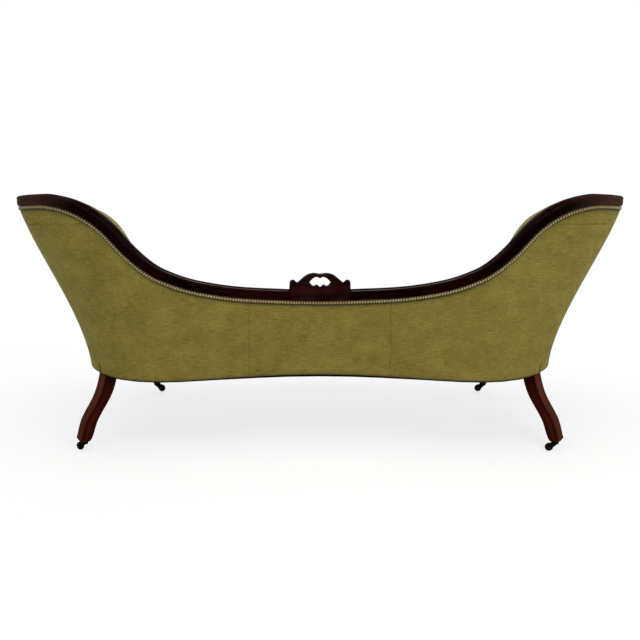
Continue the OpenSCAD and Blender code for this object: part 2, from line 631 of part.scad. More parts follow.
// Castors: the swivel is at the foot, and the wheel trails behind it
// Turn of each castor in degrees
castor_turns = [["rear", -1, 0], ["rear", 1, -30], ["front", -1, 10], ["front", 1, 165]];
function turn_of(end, side) =
    [for (c = castor_turns) if (c[0] == end && c[1] == side) c[2]][0];
module at_castor(end, side) let (f = foot_at(end, side))
    translate([f.x, f.y, 0]) rotate(turn_of(end, side)) children();
// How far the pin and the screws run up into the leg
pin_up = 5;
screw_l = 12;
screw_ring_share = 0.68;
screw_count = 3;
screw_head_share = 1.7;
screw_head_d = screw_d * screw_head_share;
boss_d = 22;
boss_t = 4.6;
cheek_t = 3;
cheek_r = 5.5;
// Room between the wheel and each cheek
wheel_room = 0.5;
cheek_in = wheel_w / 2 + wheel_room;
boss_z = castor_h - plate_t - gap - boss_t;
module screw_places() for (k = [0 : screw_count - 1]) rotate(360 * k / screw_count)
    translate([plate_d / 2 * screw_ring_share, 0, 0]) children();
module castor_plate(end, side) color(iron) translate(foot_at(end, side)) difference() {
    translate([0, 0, -plate_t]) cylinder(d = plate_d, h = plate_t - gap / 3, $fn = 64);
    translate([0, 0, -plate_t - cut])
        cylinder(d = pin_d + 2 * fit, h = plate_t + 2 * cut, $fn = 48);
    screw_places() {
        translate([0, 0, -plate_t - cut])
            cylinder(d = screw_d + 2 * fit, h = plate_t + 2 * cut, $fn = 24);
        translate([0, 0, -plate_t - fit])
            cylinder(d1 = screw_head_d + 4 * fit, d2 = screw_d + 2 * fit, h = plate_t / 2, $fn = 24);
    }
}
module castor_screws() color("dimgray") for (end = ["rear", "front"], side = [-1, 1])
    translate(foot_at(end, side)) screw_places() {
        translate([0, 0, -plate_t])
            cylinder(d1 = screw_head_d, d2 = screw_d, h = plate_t / 2, $fn = 24);
        translate([0, 0, -plate_t / 2])
            cylinder(d = screw_d, h = screw_l + plate_t / 2, $fn = 24);
    }
module cheek() rotate([90, 0, 0]) linear_extrude(cheek_t) difference() {
    axle_z = wheel_d / 2;
    k = cheek_r / sqrt(2);
    union() {
        translate([trail, axle_z]) circle(r = cheek_r, $fn = 40);
        polygon([[-boss_d / 5, boss_z], [-boss_d / 5, boss_z + boss_t], [boss_d / 3, boss_z + boss_t],
            [trail + k, axle_z + k], [trail - k, axle_z - k]]);
    }
    translate([trail, axle_z]) circle(d = axle_d + 2 * fit, $fn = 40);
}
module castor_horn(end, side) color(iron) at_castor(end, side) {
    translate([0, 0, boss_z]) cylinder(d = boss_d, h = boss_t, $fn = 64);
    translate([0, 0, boss_z]) cylinder(d = pin_d, h = castor_h - boss_z + pin_up, $fn = 48);
    for (y = [-cheek_in, cheek_in + cheek_t]) translate([0, y, 0]) cheek();
}
module castor_axle(end, side) color("dimgray") at_castor(end, side)
    translate([trail, cheek_in + cheek_t, wheel_d / 2]) rotate([90, 0, 0])
        cylinder(d = axle_d, h = 2 * (cheek_in + cheek_t), $fn = 40);
// Half section of a wheel from its hub to its tread: shares of its radius and of its half width
wheel_shares = [[0.45, 1], [0.55, 0.7], [0.8, 0.7], [0.9, 0.8], [1, 0.35]];
module castor_wheel(end, side) color(iron) at_castor(end, side)
    translate([trail, 0, wheel_d / 2]) rotate([90, 0, 0]) rotate_extrude($fn = 96) {
        bore = axle_d / 2 + fit;
        polygon([for (q = concat([[bore, -1]], [for (p = wheel_shares) [wheel_d / 2 * p[0], -p[1]]],
                [for (p = reversed(wheel_shares)) [wheel_d / 2 * p[0], p[1]]], [[bore, 1]]))
            [q[0], q[1] * wheel_w / 2]]);
    }

back_seat_rail();
end_seat_rail(-1);  // end_seat_rail_left
end_seat_rail(1);  // end_seat_rail_right
front_seat_rail();
seat_cross_rails();
corner_blocks();
rear_leg(-1);  // rear_leg_left
rear_leg(1);  // rear_leg_right
front_leg(-1);  // front_leg_left
front_leg(1);  // front_leg_right
back_stays();
tacking_rails();
top_rail_centre();
on_side(-1) top_rail(rail_joint, wall_end);  // top_rail_left
top_rail(rail_joint, wall_end);  // top_rail_right
arm_front(-1);  // arm_front_left
arm_front(1);  // arm_front_right
crest();
webbing_crosswise();
webbing_lengthwise();
seat_springs();
spring_hessian();
seat_stuffing();
seat_cover();
on_side(-1) inside_stuffing(pad_seam_share + pad_seam, wall_end);  // inside_stuffing_left
inside_stuffing(-pad_seam_share, pad_seam_share);  // inside_stuffing_centre
inside_stuffing(pad_seam_share + pad_seam, wall_end);  // inside_stuffing_right
on_side(-1) inside_cover(pad_seam_share + pad_seam, wall_end);  // inside_cover_left
inside_cover(-pad_seam_share, pad_seam_share);  // inside_cover_centre
inside_cover(pad_seam_share + pad_seam, wall_end);  // inside_cover_right
on_side(-1) outside_cover(seam_share + seam, wall_end);  // outside_cover_left
outside_cover(-seam_share + seam, seam_share - seam);  // outside_cover_centre
outside_cover(seam_share + seam, wall_end);  // outside_cover_right
outside_gimp();
inside_gimp();
front_gimp();
dust_cover();
castor_screws();
castor_plate("rear", -1);  // rear_left_plate
castor_horn("rear", -1);  // rear_left_horn
castor_axle("rear", -1);  // rear_left_axle
castor_wheel("rear", -1);  // rear_left_wheel
castor_plate("rear", 1);  // rear_right_plate
castor_horn("rear", 1);  // rear_right_horn
castor_axle("rear", 1);  // rear_right_axle
castor_wheel("rear", 1);  // rear_right_wheel
castor_plate("front", -1);  // front_left_plate
castor_horn("front", -1);  // front_left_horn
castor_axle("front", -1);  // front_left_axle
castor_wheel("front", -1);  // front_left_wheel
castor_plate("front", 1);  // front_right_plate
castor_horn("front", 1);  // front_right_horn
castor_axle("front", 1);  // front_right_axle
castor_wheel("front", 1);  // front_right_wheel
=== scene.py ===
# %% [markdown]
# # A double spoon-back settee, seen from behind
#
# The settee stands on four castors. Its back is one wall that runs from the left front corner
# round the left end, along the low centre, and round the right end to the right front corner.
# Each end rises like the bowl of a spoon and leans outwards.
#
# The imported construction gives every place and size, so it is loaded first. The pieces below are
# either its solids with a better finish, or smoother pieces that stand for them.

# %% Load the frame and keep its box
import json
import math
import bmesh
import bpy
import numpy as np
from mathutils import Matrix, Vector

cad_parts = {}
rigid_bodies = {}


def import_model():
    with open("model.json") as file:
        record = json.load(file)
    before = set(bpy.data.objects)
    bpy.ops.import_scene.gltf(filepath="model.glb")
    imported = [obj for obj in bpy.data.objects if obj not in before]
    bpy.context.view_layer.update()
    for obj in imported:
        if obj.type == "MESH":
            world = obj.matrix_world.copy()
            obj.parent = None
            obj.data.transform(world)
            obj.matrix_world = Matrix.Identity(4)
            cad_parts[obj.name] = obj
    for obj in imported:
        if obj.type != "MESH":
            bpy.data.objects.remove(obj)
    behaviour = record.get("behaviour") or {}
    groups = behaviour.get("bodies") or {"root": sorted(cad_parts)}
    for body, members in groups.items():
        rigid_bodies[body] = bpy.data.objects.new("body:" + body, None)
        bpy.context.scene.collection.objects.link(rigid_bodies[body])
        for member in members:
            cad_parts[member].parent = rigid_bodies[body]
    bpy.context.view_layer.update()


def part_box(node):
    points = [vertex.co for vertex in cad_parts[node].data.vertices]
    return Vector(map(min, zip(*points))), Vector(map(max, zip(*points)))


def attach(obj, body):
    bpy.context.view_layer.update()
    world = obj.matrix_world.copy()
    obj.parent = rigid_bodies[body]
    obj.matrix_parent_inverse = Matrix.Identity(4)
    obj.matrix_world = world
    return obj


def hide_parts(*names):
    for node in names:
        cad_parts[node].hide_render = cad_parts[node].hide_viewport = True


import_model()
scene = bpy.context.scene

# %% [markdown]
# ## The wall of the back as a formula
#
# A station `s` runs along the wall: 0 at its centre, 1 at the rear bulge, 2 at the widest point and
# 3 at the front corner, negative on the left. Three cubic curves give the plan of the wall, and two
# short tables give its lean and its height. Everything that follows the back is placed with these
# few functions, so the cloth, the rail, the braid and the padding all fit each other.
# The values are those of the construction, in metres.

# %% Driving sizes of the back
half_w, body_d, rear_y = 0.796, 0.581, 0.279
hem_z, back_rise, lean_max = 0.232, 0.587, 0.206
rail_h, rail_in, rail_proud = 0.033, 0.032, 0.004
seat_rail_h, seat_rail_t, seat_z, rail_z = 0.072, 0.048, 0.300, 0.228
wad_in, frame_t, post_drop = 0.0055, 0.026, 0.002
castor_h = 0.034
gimp_w, cloth_drop = 0.012, 0.0008
cover_step, path_step, pad_step, seat_step = 0.0075, 0.006, 0.0125, 0.020
gap = 0.0003
frame_in = wad_in + frame_t
plan_shares = np.array([
    [[0, .136], [.276, .136], [.490, 0], [.671, 0]],
    [[.671, 0], [.859, 0], [1, .191], [1, .415]],
    [[1, .415], [1, .652], [.923, .824], [.844, 1]]])
lean_shares = [.219, .238, .257, .295, .352, .548, .857, 1, .914, .79, .643, .467, .286]
rise_shares = [.447, .450, .459, .470, .486, .509, .538, .578, .634, .738, .878, .967, 1,
               .990, .968, .945, .923, .889, .838, .770, .695, .617, .545, .491, .457]
foot_slope_share, top_slope_share, rail_rake_share = .25, .8, .35


# %% Functions of the wall: each takes an array of stations and gives an array of points
def plan(s):
    """Points of the wall's foot, and how the wall runs there, per station."""
    s = np.asarray(s, float)
    piece = np.minimum(np.floor(np.abs(s)).astype(int), 2)
    u = (np.abs(s) - piece)[:, None]
    a, b, c, d = (plan_shares[piece][:, k] for k in range(4))
    p = (1 - u) ** 3 * a + 3 * (1 - u) ** 2 * u * b + 3 * (1 - u) * u * u * c + u ** 3 * d
    q = 3 * ((1 - u) ** 2 * (b - a) + 2 * (1 - u) * u * (c - b) + u * u * (d - c))
    side = np.where(s < 0, -1, 1)
    zero = np.zeros(len(s))
    return (np.stack([side * half_w * p[:, 0], rear_y - body_d * p[:, 1], zero], 1),
            np.stack([half_w * q[:, 0], -side * body_d * q[:, 1], zero], 1))


def unit(v):
    return v / np.linalg.norm(v, axis=-1, keepdims=True)


def pace(s):
    """Metres of the wall's foot per station, at one station."""
    return float(np.linalg.norm(plan(np.array([s]))[1]))


def outward(s):
    run = unit(plan(s)[1])
    return np.stack([-run[:, 1], run[:, 0], run[:, 2]], 1)


def table_at(shares, step, s):
    """A smooth curve through a table whose values lie one step apart."""
    t = np.array(list(shares) + [2 * shares[-1] - shares[-2]])
    x = np.abs(s) / step
    k = np.minimum(np.floor(x).astype(int), len(shares) - 2)
    u = x - k
    a, b, c, d = t[np.abs(k - 1)], t[k], t[k + 1], t[k + 2]
    return b + u * ((c - a) + u * ((2 * a - 5 * b + 4 * c - d) + u * (3 * (b - c) + d - a))) / 2


def lean(s):
    return lean_max * table_at(lean_shares, 1 / 4, s)


def rise(s):
    return back_rise * table_at(rise_shares, 1 / 8, s)


def top_z(s):
    return hem_z + rise(s)


def wall(s, z, inset=0.0):
    """Points of the wall at stations s and heights z, measured inwards from the cover's face."""
    s = np.asarray(s, float)
    t = (z - hem_z) / rise(s)
    bend = (3 * t ** 2 - 2 * t ** 3 + foot_slope_share * (t ** 3 - 2 * t ** 2 + t)
            + top_slope_share * (t ** 3 - t ** 2))
    bend = np.where(t > 1, 1 + top_slope_share * (t - 1), bend)
    up = np.array([0, 0, 1.0])
    return (plan(s)[0] + outward(s) * (lean(s) * bend - inset)[:, None]
            + up * (z + 0 * s)[:, None])


def rake(s):
    """Slope of the rail's faces, per metre of height."""
    out = outward(s) * (rail_rake_share * lean(s) * top_slope_share / rise(s))[:, None]
    return out + np.array([0, 0, 1.0])


def square_up(s):
    """The part of the rake that is square to the rail's run."""
    tick = 1 / 200
    run = unit(wall(s + tick, top_z(s + tick)) - wall(s - tick, top_z(s - tick)))
    r = rake(s)
    return r - (r * run).sum(1, keepdims=True) * run


def rail_point(s, out, up):
    s = np.asarray(s, float)
    return wall(s, top_z(s)) + outward(s) * out + unit(square_up(s)) * up


def upright(s, width):
    """Height that a width measured across the rail's face takes in a vertical plane."""
    return width / np.linalg.norm(square_up(s), axis=1)


def lining(s, z, inset):
    """A point of the inner lining, which follows the wall and then the rail's face."""
    low = wall(s, np.minimum(z, top_z(s)), inset)
    return low + rake(s) * np.maximum(z - top_z(s), 0)[:, None]


def run_along(points):
    """How far each point of a line lies from its first one, measured along the line."""
    return np.concatenate([[0], np.cumsum(np.linalg.norm(np.diff(points, axis=0), axis=1))])


def walk_far(s):
    """Distance along the wall, a little above mid height, for given stations."""
    return run_along(wall(s, 0.6 * top_z(s) + 0.4 * hem_z))


def walk(a, b, step):
    """Stations from a to b that lie about a step apart, and how far each is along the wall."""
    fine = np.linspace(a, b, 2001)
    far = walk_far(fine)
    n = max(int(round(far[-1] / step)), 2)
    at = np.linspace(0, far[-1], n + 1)
    return np.interp(at, far, fine), at


both_ends = np.array([-3.0, 3.0])
print("top rail's ends", wall(both_ends, top_z(both_ends)).round(3).tolist())

# %% [markdown]
# ## Helpers that make meshes
#
# Nearly every piece is a *loft*: rows of points joined into quads. One helper makes them all. Where
# asked, it closes the rows into loops and caps the ends. It also writes a UV map in metres, so that
# a weave or a grain keeps its real size on the surface.


# %% Make, finish and place a piece
def finish_piece(ob, body, finish, replaces, smooth=True):
    """Give a piece its finish and body, and hide the solids that it replaces."""
    ob.data.materials.clear()
    ob.data.materials.append(finish)
    if smooth:
        ob.data.polygons.foreach_set("use_smooth", [True] * len(ob.data.polygons))
    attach(ob, body)
    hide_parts(*replaces)
    print(f"{ob.name}: {len(ob.data.polygons)} faces")


def new_object(name, mesh):
    ob = bpy.data.objects.new(name, mesh)
    scene.collection.objects.link(ob)
    return ob


def clean_normals(mesh, weld=False):
    """Turn all faces outwards, and weld doubled points first where asked."""
    bm = bmesh.new()
    bm.from_mesh(mesh)
    if weld:
        bmesh.ops.remove_doubles(bm, verts=bm.verts, dist=1e-6)
    bmesh.ops.recalc_face_normals(bm, faces=bm.faces)
    bm.to_mesh(mesh)
    bm.free()


def loft(name, rows, uv=None, loop=False):
    """Rows of points joined into quads; loop closes each row and caps both ends."""
    rows = np.asarray(rows, float)
    n, m = rows.shape[:2]
    columns = m if loop else m - 1

    def corners(grid):
        return np.concatenate([np.stack([grid[:-1, k], grid[:-1, k + 1], grid[1:, k + 1],
                                         grid[1:, k]], 1) for k in range(columns)])

    index = np.arange(n * m).reshape(n, m)
    faces = corners(np.hstack([index, index[:, :1]])).tolist()
    if loop:
        faces += [index[0][::-1].tolist(), index[-1].tolist()]
    mesh = bpy.data.meshes.new(name)
    mesh.from_pydata(rows.reshape(-1, 3).tolist(), [], faces)
    if uv is None:
        across = np.linalg.norm(np.diff(rows, axis=1, append=rows[:, :1]), axis=2)
        v = np.concatenate([np.zeros((n, 1)), np.cumsum(across, 1)], 1).mean(0)
        along = np.linalg.norm(np.diff(rows, axis=0), axis=2).mean(1)
        u = np.concatenate([[0], np.cumsum(along)])
        uv = np.repeat(u[:, None], m + 1, 1), np.repeat(v[None, :], n, 0)
    flat = np.zeros((len(mesh.loops), 2))
    laid = corners(np.stack(uv, -1)).reshape(-1, 2)
    flat[:len(laid)] = laid
    mesh.uv_layers.new(name="UVMap").data.foreach_set("uv", flat.ravel())
    mesh.update()
    clean_normals(mesh)
    return new_object(name, mesh)


def places_of(ob):
    return np.array([v.co for v in ob.data.vertices])


def compare_with_node(ob, node):
    """Print how far a piece's box lies from the box of the solid that it stands for."""
    co = places_of(ob)
    low, high = (np.array(v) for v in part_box(node))
    print(ob.name, "lies off its solid's box by", (co.min(0) - low).round(4),
          (co.max(0) - high).round(4))


def circle(n):
    """Angles of n points round a circle."""
    return np.linspace(0, 2 * math.pi, n, endpoint=False)


def join_into(ob, others):
    """Add the meshes of other objects to a piece."""
    bm = bmesh.new()
    bm.from_mesh(ob.data)
    for other in others:
        bm.from_mesh(other.data)
        bpy.data.objects.remove(other)
    bm.to_mesh(ob.data)
    bm.free()


def apply_all(ob):
    """Put the evaluated shape into the mesh and drop the modifiers."""
    shape = ob.evaluated_get(bpy.context.evaluated_depsgraph_get())
    mesh = bpy.data.meshes.new_from_object(shape)
    old = ob.data
    ob.modifiers.clear()
    ob.data = mesh
    bpy.data.meshes.remove(old)
    return ob

# %% [markdown]
# ## Shader maths written as Python
#
# A material is a graph of nodes, but most of it is plain arithmetic on masks. The small class below
# wraps a socket, so that `0.3 + 0.5 * grain` adds its own Math nodes. A second class holds a tree
# and makes any other node from its type, its settings and its inputs. A finish is such a tree with
# one shader, and the Geometry Nodes trees further on are made the same way.


# %% Socket wrapper and finish maker
class Wire:
    """A socket that takes part in plain arithmetic."""

    def __init__(self, graph, socket):
        self.graph, self.socket = graph, socket

    def maths(self, operation, a, b=0.0):
        return self.graph.node("Math", dict(operation=operation), {0: a, 1: b})

    def __add__(self, o): return self.maths("ADD", self, o)
    def __radd__(self, o): return self.maths("ADD", o, self)
    def __sub__(self, o): return self.maths("SUBTRACT", self, o)
    def __rsub__(self, o): return self.maths("SUBTRACT", o, self)
    def __mul__(self, o): return self.maths("MULTIPLY", self, o)
    def __rmul__(self, o): return self.maths("MULTIPLY", o, self)

    def wave(self, pitch):
        """From 0 to 1 and back once in every pitch."""
        return 0.5 + 0.5 * self.maths("SINE", self * (2 * math.pi / pitch))

    def ramp(self, low, high):
        """0 below low, 1 above high."""
        return self.graph.node("MapRange", dict(interpolation_type="SMOOTHSTEP"),
                               {"Value": self, "From Min": low, "From Max": high})


class Graph:
    """A node tree in which one call makes a node, sets it and wires its inputs."""
    prefix = "ShaderNode"

    def __init__(self, tree):
        self.tree = tree

    def feed(self, socket, value):
        """Wire a value to a socket, or write it there if it is plain."""
        if isinstance(value, Wire):
            self.tree.links.new(value.socket, socket)
        else:
            socket.default_value = value

    def node(self, kind, settings=None, inputs=None, out=0):
        made = self.tree.nodes.new(kind if "Node" in kind else self.prefix + kind)
        for key, value in (settings or {}).items():
            setattr(made, key, value)
        for key, value in (inputs or {}).items():
            self.feed(made.inputs[key], value)
        return Wire(self, made.outputs[out])


class Finish(Graph):
    """One material, with its shader and the wires of its surface coordinates."""

    def __init__(self, name, rough=0.5, metal=0.0, **plain):
        self.material = bpy.data.materials.new(name)
        self.material.use_nodes = True
        super().__init__(self.material.node_tree)
        self.shader = self.tree.nodes["Principled BSDF"]
        self.shader.inputs["Roughness"].default_value = rough
        self.shader.inputs["Metallic"].default_value = metal
        for socket, value in plain.items():
            self.shader.inputs[socket.replace("_", " ")].default_value = value

    def place(self, source="UV", turn=(0, 0, 0)):
        where = self.node("TexCoord", out=source)
        return self.node("Mapping", None, {"Vector": where, "Rotation": turn})

    def split(self, vector):
        apart = self.node("SeparateXYZ", None, {0: vector})
        return [Wire(self, apart.socket.node.outputs[k]) for k in range(3)]

    def noise(self, vector, scale, detail=2.0, rough=0.5, distortion=0.0):
        return self.node("TexNoise", None, {"Vector": vector, "Scale": scale, "Detail": detail,
                                            "Roughness": rough, "Distortion": distortion})

    def grain(self, vector, stretch, *settings):
        """Noise stretched along the axes; settings are its detail, roughness and distortion."""
        return self.noise(self.node("Mapping", None, {"Vector": vector, "Scale": stretch}), 1.0,
                          *settings)

    def mix(self, share, a, b):
        """A colour between a and b."""
        a, b = (end if isinstance(end, Wire) else (*end, 1) for end in (a, b))
        return self.node("Mix", dict(data_type="RGBA"), {0: share, 6: a, 7: b}, out=2)

    def three_tones(self, value, stops):
        """A colour that runs through the given stops (place, colour) as the value rises."""
        made = self.node("ValToRGB", None, {"Fac": value})
        band = made.socket.node.color_ramp.elements
        for k, (at, colour) in enumerate(stops):
            stop = band[k] if k < 2 else band.new(at)
            stop.position, stop.color = at, (*colour, 1)
        return made

    def surface(self, colour=None, rough=None, height=None, depth=0.001, metal=None, coat=None):
        """Wire what changes over the surface to the shader."""
        for socket, wire in (("Base Color", colour), ("Roughness", rough),
                             ("Metallic", metal), ("Coat Weight", coat)):
            if wire is not None:
                self.tree.links.new(wire.socket, self.shader.inputs[socket])
        if height is not None:
            bump = self.node("Bump", None, {"Height": height, "Distance": depth, "Strength": 1.0})
            self.tree.links.new(bump.socket, self.shader.inputs["Normal"])
        return self.material


def srgb(r, g, b):
    """A linear colour from the 0 to 255 values that a photograph shows."""
    return tuple(((v / 255 + 0.055) / 1.055) ** 2.4 if v > 10 else v / 255 / 12.92
                 for v in (r, g, b))

# %% [markdown]
# ## Show-wood: old polished mahogany
#
# The rail, crest and legs are nearly black with a red glow where light enters the polish. Three
# noises give the wood: long streaks of grain, short open pores, and a slow change of tone. All are
# stretched along the length of each timber, which the UV map of every piece follows. A thin coat
# carries the polish, and it is dull where hands and dust have been.
#
# Two options serve single pieces. `arris` is a band across the rail's section with a strong coat
# and a painted pale highlight along the low middle of the back; the rail's far ends are painted a
# paler brown, as painted light where they face the lamps.
# `faces` marks the outer faces of the swept legs, which are painted paler and redder as painted
# light, while their inner faces are painted darker towards the top as painted shade under the seat.


# %% Show-wood finish
def mahogany(name, dark, light, polish=0.30, wax=0.004, arris=None, faces=None):
    wood = Finish(name, rough=0.3, Specular_IOR_Level=0.0, Coat_Roughness=0.12, Coat_IOR=1.4)
    at = wood.place()
    sideways, _, upwards = wood.split(wood.place("Object"))
    across = wood.split(at)[1]
    streak = wood.grain(at, (2.2, 46, 46), 4.0, 0.62, 0.35)
    pores = wood.grain(at, (38, 900, 900))
    tone = wood.grain(at, (3, 9, 9))
    handled = wood.noise(wood.place("Object"), 22.0, 3.0, 0.6)
    figure = streak.ramp(0.32, 0.70)
    open_pore = pores.ramp(0.60, 0.72) * 0.55
    base = wood.mix(figure * (0.35 + 0.9 * tone), dark, light)
    base = wood.mix(open_pore, base, tuple(0.25 * v for v in dark))
    coat = wax + 6 * wax * handled.ramp(0.35, 0.6)
    if arris:
        # The arris band: a strong coat on it, and a painted pale highlight in its colour along the
        # low middle of the rail.
        worn = across.ramp(*arris[:2]) * (1 - across.ramp(*arris[2:]))
        from_middle = sideways.maths("ABSOLUTE", sideways)
        gleam = (0.55 + 0.45 * tone.ramp(0.42, 0.58)) * (1 - 0.97 * from_middle.ramp(0.42, 0.58))
        coat = coat + 0.90 * worn * gleam
        # Painted highlight: the band's colour is drawn towards a pale tone.
        base = wood.mix(worn * gleam * (0.30 + 0.75 * handled), base, gleam_tone)
        # Painted light: the rail's far ends, which face the lamps, are painted a paler brown,
        # broken up by the patchy noise.
        rubbed = 0.62 * from_middle.ramp(0.74, 1.0) * (0.6 + 0.8 * handled)
        base = wood.mix(rubbed, base, painted_end_light_tone)
    if faces:
        # Painted light: the outer faces of the legs are painted paler and redder.
        outer = 1 - across.ramp(*faces)
        base = wood.mix(outer * (0.16 + 0.40 * figure), base, painted_light_face_tone)
        # Painted shade: the inner faces darken towards the top, under the seat.
        base = wood.mix(0.85 * upwards.ramp(0.09, 0.27) * (1 - outer), base, dark)
    return wood.surface(base, rough=polish + 0.16 * handled + 0.12 * open_pore,
                        height=0.6 * figure - open_pore, depth=0.00012, coat=coat)


# Tones of the painted highlight on the arris, of the painted light on the rail's ends, and of the
# painted light on the legs' outer faces.
gleam_tone, painted_end_light_tone, painted_light_face_tone = srgb(150, 134, 130), srgb(80, 56, 44), srgb(104, 60, 42)
wood_tones = srgb(5, 1, 1), srgb(30, 6, 4)
show_wood = mahogany("dark polished mahogany", *wood_tones)
crest_wood = mahogany("carved mahogany", srgb(13, 3, 2), srgb(40, 9, 7), wax=0.016)
leg_wood = mahogany("leg mahogany", srgb(24, 6, 3), srgb(84, 34, 18), polish=0.36, wax=0.008)
swept_leg_wood = mahogany("swept leg mahogany", srgb(18, 4, 2), srgb(78, 28, 15), polish=0.36,
                          faces=(0.040, 0.047))
print("show-wood finishes", show_wood.name, crest_wood.name, leg_wood.name, swept_leg_wood.name)

# %% [markdown]
# ## Olive chenille
#
# The outside cover is a heavy olive chenille. From close by it is a fine weave of fat weft yarns.
# From a step away the eye sees uneven slubs: short dashes along the weft, some paler and some
# darker, over soft patches where the pile lies another way. The UV map is in metres with U along
# the weft, so one set of numbers serves every panel.


# %% Cloth finishes
def chenille(name, deep, middle, pale, slub=1.0, shaded=False):
    cloth = Finish(name, rough=0.92, Sheen_Weight=0.35, Sheen_Roughness=0.55,
                   Sheen_Tint=(*pale, 1), Specular_IOR_Level=0.25)
    at = cloth.place()
    u, v, _ = cloth.split(at)
    drift = cloth.noise(at, 5.0, 3.0, 0.6)
    blot = cloth.noise(at, 17.0, 4.0, 0.65)
    pile = cloth.noise(at, 900.0, 2.0, 0.6)
    nap = cloth.grain(at, (7, 16, 1), 3.0, 0.6)
    dash = cloth.grain(at, (34, 330, 1), 2.0, 0.6, 0.2)
    short = cloth.grain(at, (120, 520, 1))
    ends = cloth.grain(at, (420, 26, 1))
    weft = (v + 0.0011 * drift).wave(weft_pitch)
    warp = (u + 0.0008 * nap).wave(warp_pitch)
    pale_dash = dash.ramp(0.52, 0.74) * slub
    dark_dash = (1.0 - dash).ramp(0.54, 0.74) * slub
    tone = (0.12 + 0.42 * nap + 0.34 * drift + 0.38 * (blot - 0.5) + 0.16 * weft
            + 0.20 * (pile - 0.5) + 0.72 * (short - 0.5) + 0.32 * (ends - 0.5)
            + 0.36 * pale_dash - 0.36 * dark_dash)
    colour = cloth.three_tones(tone, ((0.12, deep), (0.52, middle), (0.92, pale)))
    if shaded:
        # Painted shade: the cover's shade attribute darkens the colour in seams, pleats, under the
        # braid and at the hem.
        shade = cloth.node("Attribute", dict(attribute_name="shade"), out="Fac")
        colour = cloth.mix(shade, colour, tuple(0.12 * x for x in deep))
    height = (0.5 * weft + 0.22 * warp * weft + 0.35 * pale_dash - 0.25 * dark_dash
              + 0.35 * pile + 0.3 * short)
    return cloth.surface(colour, rough=0.80 + 0.16 * pile, height=height, depth=0.0007)


weft_pitch, warp_pitch = 0.0024, 0.0031
outside_cloth = chenille("olive chenille", srgb(72, 64, 19), srgb(108, 98, 36), srgb(136, 125, 57),
                         shaded=True)
# The inside cloth is the same olive chenille, painted paler and greyer as painted light for the
# light that falls on the inside back and the seat.
lit_inside_cloth = chenille("olive chenille inside", srgb(80, 75, 38), srgb(114, 108, 64),
                        srgb(142, 136, 94), slub=0.8)


def braid(name, low, high):
    """Twisted cord of a gimp: slanting strands on the UV map; painted light and shade make it paler
    on the raised beads and dark on the band between them.
    """
    cord = Finish(name, rough=0.7, Sheen_Weight=0.1, Specular_IOR_Level=0.25)
    u, v, _ = cord.split(cord.place())
    raised = cord.node("Attribute", dict(attribute_name="raised"), out="Fac")
    strand = (u + v).wave(0.0011)
    dust = cord.noise(cord.place("Object"), 60.0, 3.0, 0.6)
    colour = cord.mix(0.06 + 0.80 * raised + 0.18 * (strand - 0.5) + 0.4 * (dust - 0.5), low, high)
    return cord.surface(colour, rough=0.55 + 0.3 * dust, height=strand, depth=0.0004)


# The dark tone is painted shade on the band between the beads, the pale one painted light on their
# tops.
gimp_cord = braid("beige gimp", srgb(46, 37, 17), srgb(186, 165, 112))


def plain_weave(name, dark, light, pitch):
    """Over and under weave of flat yarns, on the UV map."""
    cloth = Finish(name, rough=0.9, Specular_IOR_Level=0.2)
    at = cloth.place()
    u, v, _ = cloth.split(at)
    uneven = cloth.noise(at, 40.0, 3.0, 0.6)
    yarn = cloth.grain(at, (60, 700, 1))
    over = (u + 0.2 * pitch * uneven).wave(pitch) * (v + 0.2 * pitch * uneven).wave(pitch)
    colour = cloth.mix(0.2 + 0.6 * over + 0.5 * (yarn - 0.5) + 0.4 * (uneven - 0.5), dark, light)
    return cloth.surface(colour, rough=0.75 + 0.2 * uneven, height=over + 0.4 * yarn,
                         depth=0.3 * pitch)


jute = plain_weave("jute", srgb(96, 72, 44), srgb(170, 138, 94), 0.0032)
platform_cloth = plain_weave("black platform cloth", srgb(16, 15, 15), srgb(44, 41, 39), 0.0012)
print("cloths", outside_cloth.name, lit_inside_cloth.name, gimp_cord.name, jute.name)


# %% Metal, springs and the raw wood of the hidden frame
def cast_iron(name, dark, worn, shine=0.65):
    metal = Finish(name, rough=0.45, metal=0.85, Specular_IOR_Level=0.0)
    at = metal.place("Object")
    cast = metal.noise(at, 420.0, 4.0, 0.65)
    patch = metal.noise(at, 75.0, 3.0, 0.6)
    rubbed = patch.ramp(0.50, 0.72)
    return metal.surface(metal.mix(rubbed * 0.7 + 0.2 * cast, dark, worn),
                         rough=0.62 - 0.28 * rubbed + 0.15 * cast,
                         height=cast, depth=0.0002, metal=shine + 0.3 * rubbed)


castor_iron = cast_iron("castor iron", srgb(6, 5, 4), srgb(36, 29, 22), 0.0)
wheel_iron = cast_iron("castor wheel", srgb(7, 6, 5), srgb(42, 34, 27), 0.0)
pin_steel = cast_iron("pin steel", srgb(52, 48, 44), srgb(120, 112, 104))
spring_wire = cast_iron("coppered wire", srgb(86, 50, 34), srgb(150, 96, 66))


def raw_wood(name, along, hem=False):
    """Beech with its grain along one axis; hem gives the tone of turned-in cloth below the hem."""
    wood = Finish(name, rough=0.7, Specular_IOR_Level=0.3)
    at = wood.place("Object")
    fleck = wood.grain(at, tuple(9 * x for x in along))
    figure = wood.grain(at, along, 4.0, 0.6, 0.4).ramp(0.3, 0.7)
    colour = wood.mix(0.2 + 0.6 * figure + 0.3 * (fleck - 0.5), srgb(150, 108, 66),
                      srgb(206, 166, 118))
    if hem:
        low = 1 - wood.split(at)[2].ramp(hem_z - 0.001, hem_z + 0.001)
        colour = wood.mix(low, colour, srgb(88, 78, 34))
    return wood.surface(colour, rough=0.62 + 0.2 * fleck, height=figure + fleck, depth=0.0002)


beech_across = raw_wood("raw beech", (3, 60, 60))
beech_hemmed = raw_wood("raw beech under the hem", (3, 60, 60), hem=True)
beech_upright = raw_wood("raw beech upright", (60, 60, 3))
print("metals and raw wood made")
